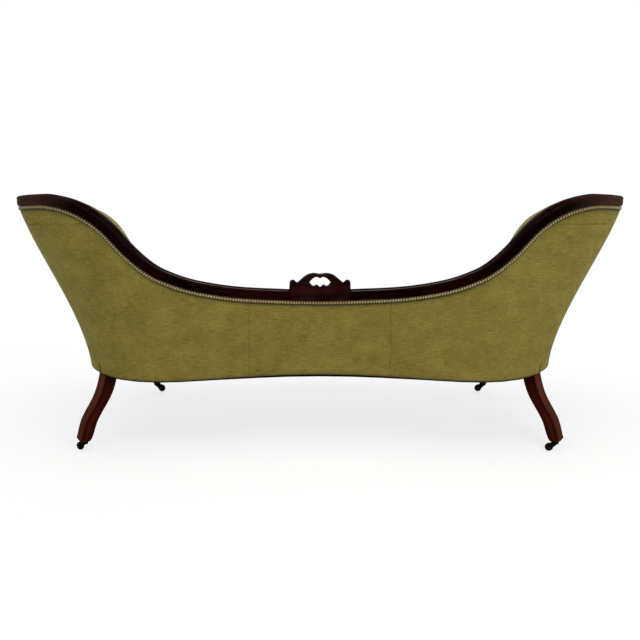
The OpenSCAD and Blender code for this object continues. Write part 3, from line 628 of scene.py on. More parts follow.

# %% [markdown]
# ## Outside cover: three widths sewn side by side
#
# The outside back is one skin of chenille over thin wadding, sewn from three widths. Each width is
# a closed thin loft that follows the wall. Its face dips at the seams, is drawn in under the braid
# and turns under at the hem. A short pleat takes up cloth above each rear leg. Extra stations stand
# close together at the seams and pleats, so that these fine lines have real depth. A point
# attribute also paints shade into the cloth's colour: in the seams and pleats, under the braid and
# at the hem.


# %% Painted shade and dents of the outside cover; dents are measured inwards
seam_s, leg_s, end_s = 0.39, 1.55, 3.0
cover_t, pleat_s, pleat_h = 0.002, 1.565, 0.036
pucker_pitch, gather_pitch, hem_pitch = 0.021, 0.058, 0.071
leg_pace = pace(leg_s)
under_braid = np.array([[.002, .0045, .0115, .0135, .0155, .018]])
over_hem = np.array([[.0018, .004, .007, .014]])
strip_rows = np.array([[-.004, -.0017, 0, .0017, .004]])
strip_limit = np.array([[.0244, .0240, .0236, .0232, .0228]])
extra_width, extra_length = 1.12, 1.08


def bell(distance, width):
    return np.exp(-(distance / width) ** 2)


strip_table = np.array([[1.25, 1.3, 1.4, 1.5, 1.6, 1.7, 1.8, 2.0, 2.4, 3.0],
                        [.772, .768, .7635, .7596, .7535, .7451, .7354, .720, .700, .690]])


def strip_z(s):
    """Height of the seam that pieces the top of each end."""
    return np.interp(np.abs(s), *strip_table)


def painted_cover_shade(s, z, at, seams):
    """Painted shade: how much a point of the cover is darkened in the seams and pleats, under the
    braid and at the hem.
    """
    below = top_z(s) - cloth_drop - z
    shade = 0.85 * bell(below - 0.0136, 0.0021) + 0.34 * bell(below - 0.016, 0.007)
    shade = shade + 0.40 * bell(z - hem_z, 0.0018) + 0.16 * bell(z - hem_z, 0.010)
    for place in seams:
        shade = shade + 0.05 * bell(at - place, 0.0016)
    for side in (-1, 1):
        d = (s - side * pleat_s) * leg_pace
        tall = np.clip((0.034 - (z - hem_z)) / 0.006, 0, 1)
        shade = shade + 0.95 * bell(d, 0.0018) * tall + 0.25 * bell(d - side * 0.004, 0.006) * tall
    joined = np.abs(s) > 1.25
    faint = 0.34 + 0.2 * np.sin(at * 47) * np.sin(at * 19 + 1)
    shade = shade + np.where(joined, faint * bell(z - strip_z(s), 0.0017), 0)
    return np.clip(shade, 0, 0.92)


def cover_dent(s, z, at, seams):
    """How deep a point of the cover lies: seams, pull of the tacks, pleats, and a slow sway."""
    top = top_z(s) - cloth_drop
    dent = 0 * z
    for place in seams:
        d = at - place
        pucker = 0.25 + 0.75 * np.cos(z * 2 * np.pi / pucker_pitch) ** 2
        dent = dent + 0.0006 * bell(d, 0.0022) + 0.0005 * pucker * bell(d, 0.009)
    dent = dent + 0.0014 * bell(top - z, 0.010)
    pull = np.cos(at * 2 * np.pi / gather_pitch + 1.7 * np.sin(at * 9)) * bell(top - z, 0.030)
    ease = np.cos(at * 2 * np.pi / hem_pitch) * bell(z - hem_z, 0.022)
    dent = dent + 0.0004 * pull + 0.0005 * ease
    for side in (-1, 1):
        d = (s - side * pleat_s) * leg_pace
        dent = dent + 0.0044 * bell(d, 0.0019) * np.clip(1 - (z - hem_z) / pleat_h, 0, 1) ** 0.5
        dent = dent - 0.0012 * bell(d - 0.006, 0.004) * np.clip(1 - (z - hem_z) / 0.05, 0, 1)
    high = np.abs(s) > 1.0
    dent = dent + np.where(high, 0.0011 * bell(z - strip_z(s), 0.0016), 0)
    sway = 0.0011 * np.sin(at * 7.3 + 5 * z) * np.sin(z * 11 + 2 * np.sin(at * 3.1))
    return dent + sway * np.clip((z - hem_z) / 0.08, 0, 1) * np.clip((top - z) / 0.08, 0, 1)


def close_stations(a, b, step, fine):
    """Stations about a step apart, with more of them next to the places in fine."""
    s, at = walk(a, b, step)
    span = 0.0012 / np.linalg.norm(plan(np.array(fine))[1], axis=1)
    extra = [p + k * w for p, w in zip(fine, span) for k in (-5, -3, -2, -1, 0, 1, 2, 3, 5)]
    more = np.array([e for e in extra if a < e < b])
    s2 = np.unique(np.concatenate([s, more]))
    return s2, np.interp(s2, s, at)


def cover_panel(name, a, b, seam_ends, nodes):
    """One width of the cover from station a to b; seam_ends are those of its ends that are sewn."""
    s, at = close_stations(a, b, cover_step, [a, b, -pleat_s, pleat_s])
    top = (top_z(s) - cloth_drop)[:, None]
    strip = np.minimum(strip_z(s)[:, None] + strip_rows, top - strip_limit)
    zs = [hem_z + (top - hem_z) * np.linspace(0, 1, 61)[None, :], top - under_braid,
          hem_z + over_hem + 0 * top, strip]
    zs = np.sort(np.concatenate(zs, 1), 1)
    face, fold = [], 0.001
    for k in range(1, 6):
        angle = math.pi * k / 6
        face.append(wall(s, hem_z + fold - fold * math.sin(angle), fold + fold * math.cos(angle)))
    places = [at[k] for k in seam_ends]
    for k in range(zs.shape[1]):
        z = np.maximum(zs[:, k], hem_z + fold)
        face.append(wall(s, z, 0) - outward(s) * cover_dent(s, z, at, places)[:, None])
    for k in range(zs.shape[1] - 1, -1, -6):
        z = np.maximum(zs[:, k], hem_z + fold)
        inset = cover_t + np.maximum(cover_dent(s, z, at, places), 0)
        face.append(wall(s, z, 0) - outward(s) * inset[:, None])
    rows = np.stack(face, 1)
    height = np.linalg.norm(np.diff(rows, axis=1), axis=2)
    v = np.concatenate([np.zeros((len(s), 1)), np.cumsum(height, 1)], 1)
    v = np.concatenate([v, v[:, -1:] + 0.002], 1)
    u = np.repeat(at[:, None], v.shape[1], 1) + a
    ob = loft(name, rows, (u, v), loop=True)
    shade = ob.data.attributes.new("shade", "FLOAT", "POINT")
    shade.data.foreach_set("value", np.stack([painted_cover_shade(s, rows[:, k, 2], at, places)
                                              for k in range(rows.shape[1])], 1).ravel())
    finish_piece(ob, "settee", outside_cloth, nodes)
    area = sum(p.area for p in ob.data.polygons) / 2
    width = float(at[-1]) * extra_width
    length = max(float((top_z(s) - hem_z).max()) * extra_length, area / width * 1.001)
    print(name, "cloth", round(width, 3), "by", round(length, 3), "m, area", round(area, 3))


half_gap = gap / 2 / pace(seam_s)
cover_end = end_s - gap / pace(end_s)
for word, a, b, seam_ends, node in (
        ("left", -cover_end, -seam_s - half_gap, [-1], "outside_cover_left"),
        ("middle", -seam_s + half_gap, seam_s - half_gap, [0, -1], "outside_cover_centre"),
        ("right", seam_s + half_gap, cover_end, [0], "outside_cover_right")):
    cover_panel(f"outside_cover_{word}_width", a, b, seam_ends, [node])

# %% [markdown]
# ## Geometry Nodes: a tree that grows from a path
#
# The timbers of the top rail, the bands of the braids and their beads all follow a path. Each path
# is a plain line of points that also carries the direction in which the surface faces there. A node
# tree turns the line into a curve, keeps that direction as the curve's normal, and either sweeps a
# section along it or sets a small piece at every step.


# %% Graph helpers for Geometry Nodes
class Growth(Graph):
    """A Geometry Nodes tree with named inputs for its sizes."""
    prefix = "GeometryNode"

    def __init__(self, name, sizes, objects=()):
        super().__init__(bpy.data.node_groups.new(name, "GeometryNodeTree"))
        self.ids = {}
        self.ask("Geometry", "Geometry")
        for key, value in sizes.items():
            self.ask(key, "Float").default_value = value
        for key in objects:
            self.ask(key, "Object")
        self.ask("Finish", "Material")
        self.ask("Geometry", "Geometry", "OUTPUT")
        self.given = self.tree.nodes.new("NodeGroupInput")
        self.result = self.tree.nodes.new("NodeGroupOutput")

    def ask(self, key, kind, way="INPUT"):
        """Add a socket to the tree's own inputs or outputs and keep its identifier."""
        made = self.tree.interface.new_socket(key, in_out=way, socket_type="NodeSocket" + kind)
        self.ids[key] = made.identifier
        return made

    def input(self, key):
        return Wire(self, self.given.outputs[key])

    def store(self, wire, key, value, kind="FLOAT", domain="POINT"):
        """Keep a value on the geometry under a name."""
        return self.node("StoreNamedAttribute", dict(data_type=kind, domain=domain),
                         {0: wire, "Name": key, "Value": value})

    def stored(self, key, kind="FLOAT"):
        return self.node("InputNamedAttribute", dict(data_type=kind), {"Name": key})

    def shape_of(self, key):
        """The geometry of an object that is given as an input."""
        return self.node("ObjectInfo", None, {0: self.input(key)}, out="Geometry")

    def end(self, wire):
        """Every tree ends in Realize Instances and Set Material."""
        whole = self.node("RealizeInstances", None, {0: wire})
        done = self.node("SetMaterial", None, {0: whole, "Material": self.input("Finish")})
        self.tree.links.new(done.socket, self.result.inputs[0])


def grow(name, points, facing, growth, finish, **given):
    """Run a tree on a path and keep the plain mesh that it makes."""
    mesh = bpy.data.meshes.new(name)
    mesh.from_pydata([tuple(p) for p in points], [(k, k + 1) for k in range(len(points) - 1)], [])
    layer = mesh.attributes.new("facing", "FLOAT_VECTOR", "POINT")
    layer.data.foreach_set("vector", np.asarray(facing, float).ravel())
    ob = new_object(name, mesh)
    grown = ob.modifiers.new("grown", "NODES")
    grown.node_group = growth.tree
    grown[growth.ids["Finish"]] = finish
    for key, value in given.items():
        grown[growth.ids[key.replace("_", " ")]] = value
    return apply_all(ob)


# %% Tree that sweeps a section along a path
def section_object(name, points):
    """A closed outline that a tree can sweep; it is never shown itself."""
    mesh = bpy.data.meshes.new(name)
    n = len(points)
    mesh.from_pydata([(x, y, 0) for x, y in points], [(k, (k + 1) % n) for k in range(n)], [])
    ob = new_object(name, mesh)
    ob.hide_render = ob.hide_viewport = True
    return ob


sweep = Growth("sweep a section along a path", {"Section size": 1.0}, ["Section"])
path = sweep.node("MeshToCurve", None, {0: sweep.input("Geometry")})
path = sweep.node("SetCurveNormal", dict(mode="FREE"),
                  {0: path, "Normal": sweep.stored("facing", "FLOAT_VECTOR")})
path = sweep.store(path, "along", sweep.node("SplineParameter", out=1))
outline = sweep.node("MeshToCurve", None, {0: sweep.shape_of("Section")})
outline = sweep.store(outline, "across", sweep.node("SplineParameter", out=1))
swept = sweep.node("CurveToMesh", None, {0: path, "Profile Curve": outline,
                                         "Scale": sweep.input("Section size"), "Fill Caps": True})
uv = sweep.node("ShaderNodeCombineXYZ", None,
                {0: sweep.stored("along"), 1: sweep.stored("across")})
sweep.end(sweep.store(swept, "UVMap", uv, "FLOAT2", "CORNER"))
print("sweep tree inputs", list(sweep.ids))

# %% Tree that sets a small piece at every step of a path
beads = Growth("set a bead at every step of a path",
               {"Step": 0.01, "Bead length": 1.0, "Bead width": 1.0, "Bead height": 1.0}, ["Bead"])
path = beads.node("MeshToCurve", None, {0: beads.input("Geometry")})
path = beads.node("ResampleCurve", dict(mode="LENGTH"), {0: path, "Length": beads.input("Step")})
turn = beads.node("FunctionNodeAxesToRotation", dict(primary_axis="Z", secondary_axis="X"),
                  {"Primary Axis": beads.stored("facing", "FLOAT_VECTOR"),
                   "Secondary Axis": beads.node("InputTangent")})
size = beads.node("ShaderNodeCombineXYZ", None, {
    k: beads.input("Bead " + key) for k, key in enumerate(("length", "width", "height"))})
beads.end(beads.node("InstanceOnPoints", None, {
    0: path, "Instance": beads.shape_of("Bead"), "Rotation": turn, "Scale": size}))
print("bead tree inputs", list(beads.ids))

# %% [markdown]
# ## The top rail
#
# The rail is a moulding of one section bent along the top of the wall, cut from three timbers. It
# is the piece whose shape follows a rule, so the sweep tree makes it: the path is the top edge of
# the cover. The section has a well rounded arris at the back, which catches the light, a shallow
# groove half way down its rear face, and a flat inner face. Its finish also paints a pale highlight
# along that arris, in the low middle of the back.


# %% Section of the rail and its three timbers
def arc(cx, cy, r, start, stop, steps=5):
    """Points on part of a circle, for the rounded edges of a section; angles in degrees."""
    angles = [math.radians(start + (stop - start) * k / steps) for k in range(steps + 1)]
    return [(cx + r * math.cos(a), cy + r * math.sin(a)) for a in angles]


arris_r, inner_r, foot_r = 0.0090, 0.005, 0.003
rail_outline = ([(-rail_in, 0.0005), (-rail_in, 0.014)]
                + arc(-rail_in + inner_r, rail_h - 0.001 - inner_r, inner_r, 180, 90)
                + [(-0.012, rail_h - 0.0004)]
                + arc(rail_proud - arris_r, rail_h - 0.0008 - arris_r, arris_r, 84, -4, 8)
                + [(rail_proud - in_by, up) for in_by, up in (
                    (.0003, .0215), (.0012, .0203), (.0014, .0190), (.0006, .0178), (.0004, .011),
                    (.0010, .005))]
                + arc(rail_proud - 0.0015 - foot_r, 0.0035, foot_r, 0, -90, 4))
edge = np.array(rail_outline)
across_edge = run_along(edge)
gleam_x = rail_proud - arris_r * 0.55
lit = across_edge[(np.abs(edge[:, 0] - gleam_x) < 0.0012) & (edge[:, 1] > rail_h - arris_r)]
arris_band = [float(v) for v in (lit[0] - 0.0012, lit[0] + 0.0002,
                                 lit[-1] + 0.0002, lit[-1] + 0.0016)]
rail_wood = mahogany("rail mahogany", *wood_tones, arris=arris_band)
print("gleaming arris of the rail at", np.round(arris_band, 4))

rail_joint = 11 / 12
joint_gap = gap / pace(rail_joint)
for name, a, b, node in (
        ("top_rail_middle_timber", -rail_joint, rail_joint, "top_rail_centre"),
        ("top_rail_left_timber", -cover_end, -rail_joint - joint_gap, "top_rail_left"),
        ("top_rail_right_timber", rail_joint + joint_gap, cover_end, "top_rail_right")):
    s = walk(a, b, path_step)[0]
    section = section_object(name + "_section", rail_outline)
    timber = grow(name, rail_point(s, 0, 0), outward(s), sweep, rail_wood, Section=section)
    bpy.data.objects.remove(section)
    finish_piece(timber, "settee", rail_wood, [node])
    compare_with_node(timber, node)

# %% [markdown]
# ## Legs, front rail and arm fronts
#
# A rear leg is one timber: a square leg that sweeps out and back below the seat, and a thin
# upright above it that stays inside the upholstery. Its faces are turned in plan, so one arris
# points to the photographer, between an outer face painted paler as painted light and an inner one
# painted darker towards the top as painted shade. The sweep is a short table, drawn through with a
# smooth curve. The front legs, the front rail and the arm fronts are lofts of the same kind. The
# left ones are mirror images of the right ones.


# %% Smooth tables and rounded sections
def curve_through(table, x):
    """Values at x on a smooth curve through the rows of a table; the first column is the place."""
    t = np.asarray(table, float)
    at, value = t[:, 0], t[:, 1:]
    slope = np.gradient(value, at, axis=0)
    k = np.clip(np.searchsorted(at, x, side="right") - 1, 0, len(at) - 2)
    h = (at[k + 1] - at[k])[:, None]
    u = (x - at[k])[:, None] / h
    return ((2 * u ** 3 - 3 * u ** 2 + 1) * value[k] + (u ** 3 - 2 * u ** 2 + u) * h * slope[k]
            + (3 * u ** 2 - 2 * u ** 3) * value[k + 1] + (u ** 3 - u ** 2) * h * slope[k + 1])


def rounded_square(side, radius, turn):
    """Corner-rounded square outline, turned in plan."""
    h = side / 2 - radius
    points = []
    for quarter, (cx, cy) in enumerate(((h, h), (-h, h), (-h, -h), (h, -h))):
        points += arc(cx, cy, radius, 90 * quarter, 90 * quarter + 90, 4)
    p = np.array(points)
    c, n = math.cos(turn), math.sin(turn)
    return np.stack([p[:, 0] * c - p[:, 1] * n, p[:, 0] * n + p[:, 1] * c], 1)


def level_ring(outline, centre):
    return np.concatenate([outline, np.zeros((len(outline), 1))], 1) + centre


def mirrored(rows, side):
    return np.asarray(rows) * (side, 1, 1)


inner = wad_in
leg_side, leg_out, leg_back, leg_turn = 0.046, 0.064, 0.134, math.radians(52)
foot_cone, leg_low_share, top_lap, leg_round = 0.012, 0.86, 0.003, 0.0028
sweep_shares = [[0, 0], [.10, .055], [.22, .13], [.34, .235], [.44, .36], [.53, .50], [.62, .645],
                [.71, .77], [.80, .855], [.88, .91], [.94, .95], [1, 1]]
at_leg = np.array([leg_s])
leg_top = plan(at_leg)[0][0] - outward(at_leg)[0] * (inner + leg_side / 2)
print("rear leg's top", leg_top.round(4))


# %% Rear legs
def rear_leg(side, word):
    """The swept leg and the upright above it, as one timber."""
    q = np.linspace(0, 1, 61)
    sweep_at = curve_through(sweep_shares, q)[:, 0]
    drop = rail_z + top_lap - castor_h
    rings = []
    for share, out in zip(q, sweep_at):
        width = leg_side * (1 - (1 - leg_low_share) * share ** 2)
        centre = leg_top + np.array([leg_out * out, leg_back * out,
                                     castor_h + foot_cone + (drop - foot_cone) * (1 - share)])
        rings.append(level_ring(rounded_square(width, leg_round, -leg_turn), centre))
    foot = leg_top + np.array([leg_out, leg_back, castor_h])
    for up, width in ((0.0108, 0.0390), (0.0094, 0.0382), (0.0018, 0.0296), (0.0, 0.0280)):
        rings.append(level_ring(rounded_square(width, leg_round * width / 0.036, -leg_turn),
                                foot + (0, 0, up)))
    leg = loft(f"rear_leg_{word}_timber", mirrored(rings, side), loop=True)
    half = (leg_side * 0.62 + gap) / leg_pace
    s = np.linspace(leg_s - half, leg_s + half, 9)
    low, high = rail_z + 0 * s, seat_z + 0 * s
    zs = [low, high] + [seat_z + (top_z(s) - post_drop - seat_z) * k / 24 for k in range(1, 25)]
    ring = [wall(s, z, inner) for z in zs]
    ring += [wall(s, z, frame_in) for z in zs[:0:-1]]
    ring += [wall(s, z, inner + seat_rail_t) for z in (high, low)]
    post = loft("upright", mirrored(np.stack(ring, 1), side), loop=True)
    join_into(leg, [post])
    finish_piece(leg, "settee", swept_leg_wood, [f"rear_leg_{word}"])


rear_leg(-1, "left")
rear_leg(1, "right")

# %% Front legs
block_w, knee_r, ankle_r, toe_out, toe_front = 0.052, 0.029, 0.0125, 0.002, 0.008
at_end = np.array([end_s])
end_foot, end_run = plan(at_end)[0][0], unit(plan(at_end)[1])[0]
end_out = outward(at_end)[0]
leg_form_shares = [[0, 0, .09], [.04, -.05, .16], [.10, -.18, .08], [.20, -.33, 0],
                   [.34, -.27, .10], [.50, -.08, .33], [.66, .13, .62], [.80, .25, .92],
                   [.90, .19, 1], [1, .05, .86]]
knee_way = np.array([0.5, -0.85, 0])


def block_point(forward, inset, z):
    return end_foot + end_run * forward - end_out * inset + np.array([0, 0, z])


def front_block(side):
    """The square block of a front leg: rounded in front, with softened top and foot edges."""
    f0, f1, i0, i1 = gap, block_w, inner, inner + block_w
    rings = []
    for z, small in ((rail_z, .0016), (rail_z + .0016, .0), (seat_z - .0012, .0), (seat_z, .0012)):
        outline = []
        for cf, ci, df, di, start in ((f1, i0, -1, 1, 0), (f0, i0, 1, 1, 90),
                                      (f0, i1, 1, -1, 180), (f1, i1, -1, -1, 270)):
            radius = 0.0035 if cf == f1 else 0.0012
            in_by = radius + small * 0.4
            for a, b in arc(0, 0, radius - small * 0.6, start, start + 90, 4):
                outline.append(block_point(cf + df * in_by + a, ci + di * in_by - b, z))
        rings.append(outline)
    return loft("block", mirrored(rings, side), loop=True)


def front_leg(side, word):
    """A bowed leg with a swelling knee and a slim ankle, under its block."""
    block = block_point((block_w + gap) / 2, inner + block_w / 2, rail_z)
    foot = block + (toe_out, -toe_front, castor_h - rail_z)
    q = np.linspace(0, 1, 61)
    form = curve_through(leg_form_shares, q)
    knee_at = math.atan2(knee_way[1], knee_way[0])
    turn = circle(32)
    rings = []
    for share, (forward, swell) in zip(q, form):
        r = ankle_r + (knee_r - ankle_r) * swell
        arris = 1 + 0.055 * swell * np.maximum(np.cos(turn - knee_at), 0) ** 10
        ring = np.stack([r * arris * np.cos(turn), r * arris * np.sin(turn), 0 * turn], 1)
        rings.append(ring + foot + (block - foot) * share + knee_way * knee_r * forward)
    leg = loft(f"front_leg_{word}_timber", mirrored(rings, side), loop=True)
    join_into(leg, [front_block(side)])
    finish_piece(leg, "settee", leg_wood, [f"front_leg_{word}"])


front_leg(-1, "left")
front_leg(1, "right")

# %% Front rail with its moulded face
front_swell = 0.045
block_in = inner + block_w
front_end = block_point(block_w, block_in + gap, 0)
front_back = block_point(gap, block_in + gap, 0)


def front_point(u, inset, half=None):
    """Front edge of the seat at a share u of its half width, moved back by inset."""
    half = front_end[0] if half is None else half
    return np.stack([half * u, front_end[1] - front_swell * (1 + np.cos(np.pi * u)) / 2 + inset,
                     0 * u], 1)


u = np.linspace(-1, 1, 161)
edge_r = 0.0035
rounding = [(edge_r - edge_r * math.sin(a), edge_r - edge_r * math.cos(a))
            for a in np.radians((15, 40, 65, 90))]
face = [(seat_rail_t, 0), (edge_r, 0), *rounding,
        (0, .0075), (.0004, .0092), (.0022, .0098), (.0026, .0115), (.0020, .0150), (.0010, .0190),
        (.0004, .0240), (0, .0300), (0, .0712), (.0008, seat_rail_h), (seat_rail_t, seat_rail_h)]
rows = []
for inset, up in face:
    half = front_end[0] + (front_back[0] - front_end[0]) * inset / seat_rail_t
    points = front_point(u, inset, half)
    if inset > 0.03:
        points[:, 1] = np.minimum(points[:, 1], front_back[1])
    rows.append(points + (0, 0, rail_z + up))
front_rail = loft("front_seat_rail_timber", np.stack(rows, 1), loop=True)
finish_piece(front_rail, "settee", leg_wood, ["front_seat_rail"])

# %% Arm fronts
arm_w, arm_in, arm_round = 0.044, 0.036, 0.0075
arm_shares = [[0, 1], [.08, .96], [.2, .80], [.34, .70], [.48, .76], [.62, .92], [.74, 1.06],
              [.84, 1.12], [.92, 1.04], [.97, .82], [1, .46]]
arm_top = float(top_z(at_end)[0]) + rail_h


def arm_ring(z, forward, tuck):
    """One level of an arm front: rounded edges, and a fillet cut along both of its sides."""
    out, back, r = rail_proud - tuck, -arm_in + tuck, arm_round
    cut_at, cut_d = forward - 0.0135, 0.0011
    side_out = [(gap, out), (cut_at - .0022, out), (cut_at - .0012, out - cut_d),
                (cut_at + .0006, out - cut_d), (cut_at + .0014, out)]
    edge = arc(forward - r, out - r, r, 90, 0) + arc(forward - r, back + r, r, 0, -90)
    side_in = [(f, back + (out - o)) for f, o in side_out[::-1]]
    place = wall(at_end, np.array([z]))[0]
    return [place + end_run * f + end_out * o for f, o in side_out + edge + side_in]


def arm_front(side, word):
    """A waisted board that rises from the seat rail to the end of the top rail."""
    share = np.concatenate([np.linspace(0, 0.9, 46), np.linspace(0.9, 1, 16)[1:]])
    forward = arm_w * curve_through(arm_shares, share)[:, 0]
    low = seat_z + gap
    rings = []
    for q, f in zip(share, forward):
        tuck = 0.0030 * max(0.0, (q - 0.975) / 0.025) ** 2
        rings.append(arm_ring(low + (arm_top - low) * q, f, tuck))
    arm = loft(f"arm_front_{word}_board", mirrored(rings, side), loop=True)
    finish_piece(arm, "settee", show_wood, [f"arm_front_{word}"])


arm_front(-1, "left")
arm_front(1, "right")

# %% [markdown]
# ## The crest
#
# The crest is sawn and carved from one board that laps down over the rail's rear face as far as
# the braid. Two C-scrolls rise from small round ears and meet at a bud over a kidney-shaped hole,
# and two little volutes sit in the foot of the hole. The board is a flat curve with a rounded edge,
# and the carving is laid on it as fine tapered rolls. Everything is drawn flat, in x and height,
# and then bent along the rail with the functions that placed the rail.


# %% Outline, hole and board of the crest
crest_w, crest_h, crest_let, crest_t = 0.198, 0.059, 0.005, 0.022
crest_shares = [[1, 0], [1, .475], [.992, .541], [.965, .592], [.93, .62], [.89, .625],
                [.85, .602], [.815, .555], [.785, .512], [.755, .503], [.72, .536], [.66, .625],
                [.58, .742], [.52, .822], [.455, .892], [.39, .944], [.32, .977], [.25, .995],
                [.19, 1], [.12, .986], [.065, .967], [.03, .962], [0, .962]]
hole_shares = [[0, .264], [.03, .306], [.065, .353], [.10, .372], [.135, .372], [.17, .348],
               [.20, .334], [.235, .339], [.27, .367], [.31, .438], [.342, .503], [.348, .541],
               [.34, .578], [.32, .616], [.29, .667], [.258, .719], [.225, .758], [.195, .789],
               [.16, .812], [.13, .822], [.095, .822], [.065, .808], [.03, .78], [0, .766]]


def drawn(shares):
    """Both halves of an outline, in metres from the middle and from the rail's top."""
    half = [(x * crest_w / 2, y * (crest_h + crest_let) - crest_let) for x, y in shares]
    return half + [(-x, y) for x, y in half[-2:0:-1]] + ([(-half[0][0], half[0][1])]
                                                       if half[0][0] else [])


def rounder(points, steps=4):
    """Closed smooth curve through points."""
    p = np.array(points)
    a, b, c, d = np.roll(p, 1, 0), p, np.roll(p, -1, 0), np.roll(p, -2, 0)
    out = []
    for u in (k / steps for k in range(steps)):
        bend = (2 * a - 5 * b + 4 * c - d) + u * (3 * (b - c) + d - a)
        out.append(b + u * ((c - a) + u * bend) / 2)
    return np.stack(out, 1).reshape(-1, 2)


def moved_in(points, amount):
    """A closed outline moved inwards; a negative amount moves it out."""
    p = np.asarray(points, float)
    run = unit(np.roll(p, -1, 0) - np.roll(p, 1, 0))
    turns = np.sign((p[:, 0] * np.roll(p[:, 1], -1) - np.roll(p[:, 0], -1) * p[:, 1]).sum())
    return p + np.stack([-run[:, 1], run[:, 0]], 1) * turns * amount


def flat_solid(name, loops, thick, round_edge):
    """Flat curve with holes, thickened both ways, with rounded edges; x across, y up, z out."""
    loops = [moved_in(p, round_edge if k == 0 else -round_edge) for k, p in enumerate(loops)]
    curve = bpy.data.curves.new(name, "CURVE")
    curve.dimensions, curve.fill_mode = "2D", "BOTH"
    curve.extrude, curve.bevel_depth = thick / 2 - round_edge, round_edge
    curve.bevel_resolution = 2
    for points in loops:
        spline = curve.splines.new("POLY")
        spline.points.add(len(points) - 1)
        spline.use_cyclic_u = True
        for p, (x, y) in zip(spline.points, points):
            p.co = (x, y, 0, 1)
    ob = new_object(name, curve)
    mesh = bpy.data.meshes.new_from_object(ob.evaluated_get(bpy.context.evaluated_depsgraph_get()))
    bpy.data.objects.remove(ob)
    clean_normals(mesh, weld=True)
    return new_object(name, mesh)


fine_s = np.linspace(-0.5, 0.5, 401)
fine_x = rail_point(fine_s, 0, rail_h)[:, 0]


def bend_to_rail(ob, out):
    """Move a flat piece onto the rail: x along it, y up from its top, z out from its middle."""
    co = places_of(ob)
    s = np.interp(co[:, 0], fine_x, fine_s)
    bent = (wall(s, top_z(s)) + outward(s) * (out + co[:, 2])[:, None]
            + unit(square_up(s)) * (rail_h + co[:, 1])[:, None])
    ob.data.vertices.foreach_set("co", bent.ravel())
    ob.data.update()


outline = drawn(crest_shares)
right, foot = outline[0][0], 0.0012 - rail_h
end_line = [(0, .021), (0, .016), (0, .010), (0, .004), (.0002, -.003), (.0008, -.010),
            (.0020, -.017), (.0040, -.023), (.0075, foot + .0038), (.012, foot + .001),
            (.018, foot), (.05, foot)]
lap = [(x - right, y) for x, y in end_line] + [(0, foot)]
lap += [(right - x, y) for x, y in end_line[::-1]]
board_outline = rounder(outline[1:-1] + lap)
hole = rounder(drawn(hole_shares), 5)
board_t = crest_t * 0.86
crest = flat_solid("crest_board", [board_outline, hole], board_t, 0.0020)
print("crest board", len(crest.data.polygons), "faces", len(board_outline), len(hole))


# %% Carving of the crest
def ribbon(name, points, radius, rows, sides, flat):
    """A fine tapered roll along points (x, y, z); radius lists its thickness from end to end."""
    p = np.asarray(points, float)
    far = run_along(p)
    at = np.linspace(0, far[-1], rows)
    q = np.stack([np.interp(at, far, p[:, k]) for k in range(3)], 1)
    run = unit(np.gradient(q, axis=0))
    across = np.stack([-run[:, 1], run[:, 0], 0 * at], 1)
    r = np.interp(at, np.linspace(0, far[-1], len(radius)), radius)
    turn = circle(sides)
    ring = (q[:, None, :] + across[:, None, :] * (r[:, None] * np.cos(turn))[:, :, None]
            + np.array([0, 0, 1.0]) * (flat * r[:, None] * np.sin(turn))[:, :, None])
    return loft(name, ring, loop=True)


def spiral(cx, cy, start, radius, turns, hand, z):
    k = np.linspace(0, 1, 40)
    angle = start + hand * 2 * math.pi * turns * k
    r = radius * (1 - k) ** 0.8 + 0.0004
    return np.stack([cx + r * np.cos(angle), cy + r * np.sin(angle), z + 0 * k], 1)


def rim_line(shares, side, z):
    """A smooth open line through shares of the crest's half width and height."""
    line = rounder([(side * x * crest_w / 2, y * carve_h - 0.001) for x, y in shares])
    line = line[:4 * (len(shares) - 1) + 1]
    return np.concatenate([line, np.full((len(line), 1), z)], 1)


def disc(name, cx, cy, radius, half_t, levels):
    """A round boss with soft edges that passes through the board."""
    turn, rings = circle(20), []
    for level in np.linspace(-1, 1, levels):
        r = radius * math.sqrt(max(1 - level ** 4, 0.02))
        rings.append(np.stack([cx + r * np.cos(turn), cy + r * np.sin(turn),
                               level * half_t + 0 * turn], 1))
    return loft(name, rings, loop=True)


carve_h, face_z = 0.060, board_t / 2
ear, volute = (.0893, .0258), (.0115, .0132)
scroll_shares = ((.71, .42), (.65, .52), (.57, .65), (.50, .745), (.43, .82), (.36, .875),
                 (.28, .91), (.20, .92), (.13, .91), (.07, .88))
hole_rim_shares = ((.28, .26), (.345, .355), (.395, .47), (.39, .58), (.34, .70), (.27, .80),
                   (.18, .86))
leaf_shares = ((.42, .60, .05, .34), (.36, .50, .04, .40), (.50, .70, .04, .26))
parts = []
for side in (-1, 1):
    for z in (-face_z, face_z):
        parts.append(ribbon("rim", rim_line(scroll_shares, side, z),
                            [.0006, .0020, .0024, .0020, .0008], 44, 8, 0.85))
        parts.append(ribbon("hole_rim", rim_line(hole_rim_shares, side, z),
                            [.0005, .0016, .0018, .0015, .0005], 34, 8, 0.8))
        line = spiral(side * volute[0], volute[1], -math.pi / 2, .0058, 1.6, side, z)
        parts.append(ribbon("volute", line, [.0017, .0016, .0014, .0012, .0016], 46, 8, 0.9))
        line = spiral(side * ear[0], ear[1], -math.pi / 2 - .3, .0082, 1.6, side, z)
        parts.append(ribbon("ear", line, [.0016, .0015, .0013, .0016], 36, 8, 0.8))
        for x0, x1, y0, y1 in leaf_shares:
            leaf = [(side * (x0 + (x1 - x0) * t ** 1.4) * crest_w / 2,
                     (y0 + (y1 - y0) * math.sin(t * 1.4)) * carve_h - .010 * (1 - t), z)
                    for t in np.linspace(0, 1, 12)]
            parts.append(ribbon("leaf", leaf, [.0004, .0016, .0018, .0003], 16, 6, 0.6))
bud, turn = [], circle(18)
lobes = 1 + 0.10 * np.cos(3 * turn)
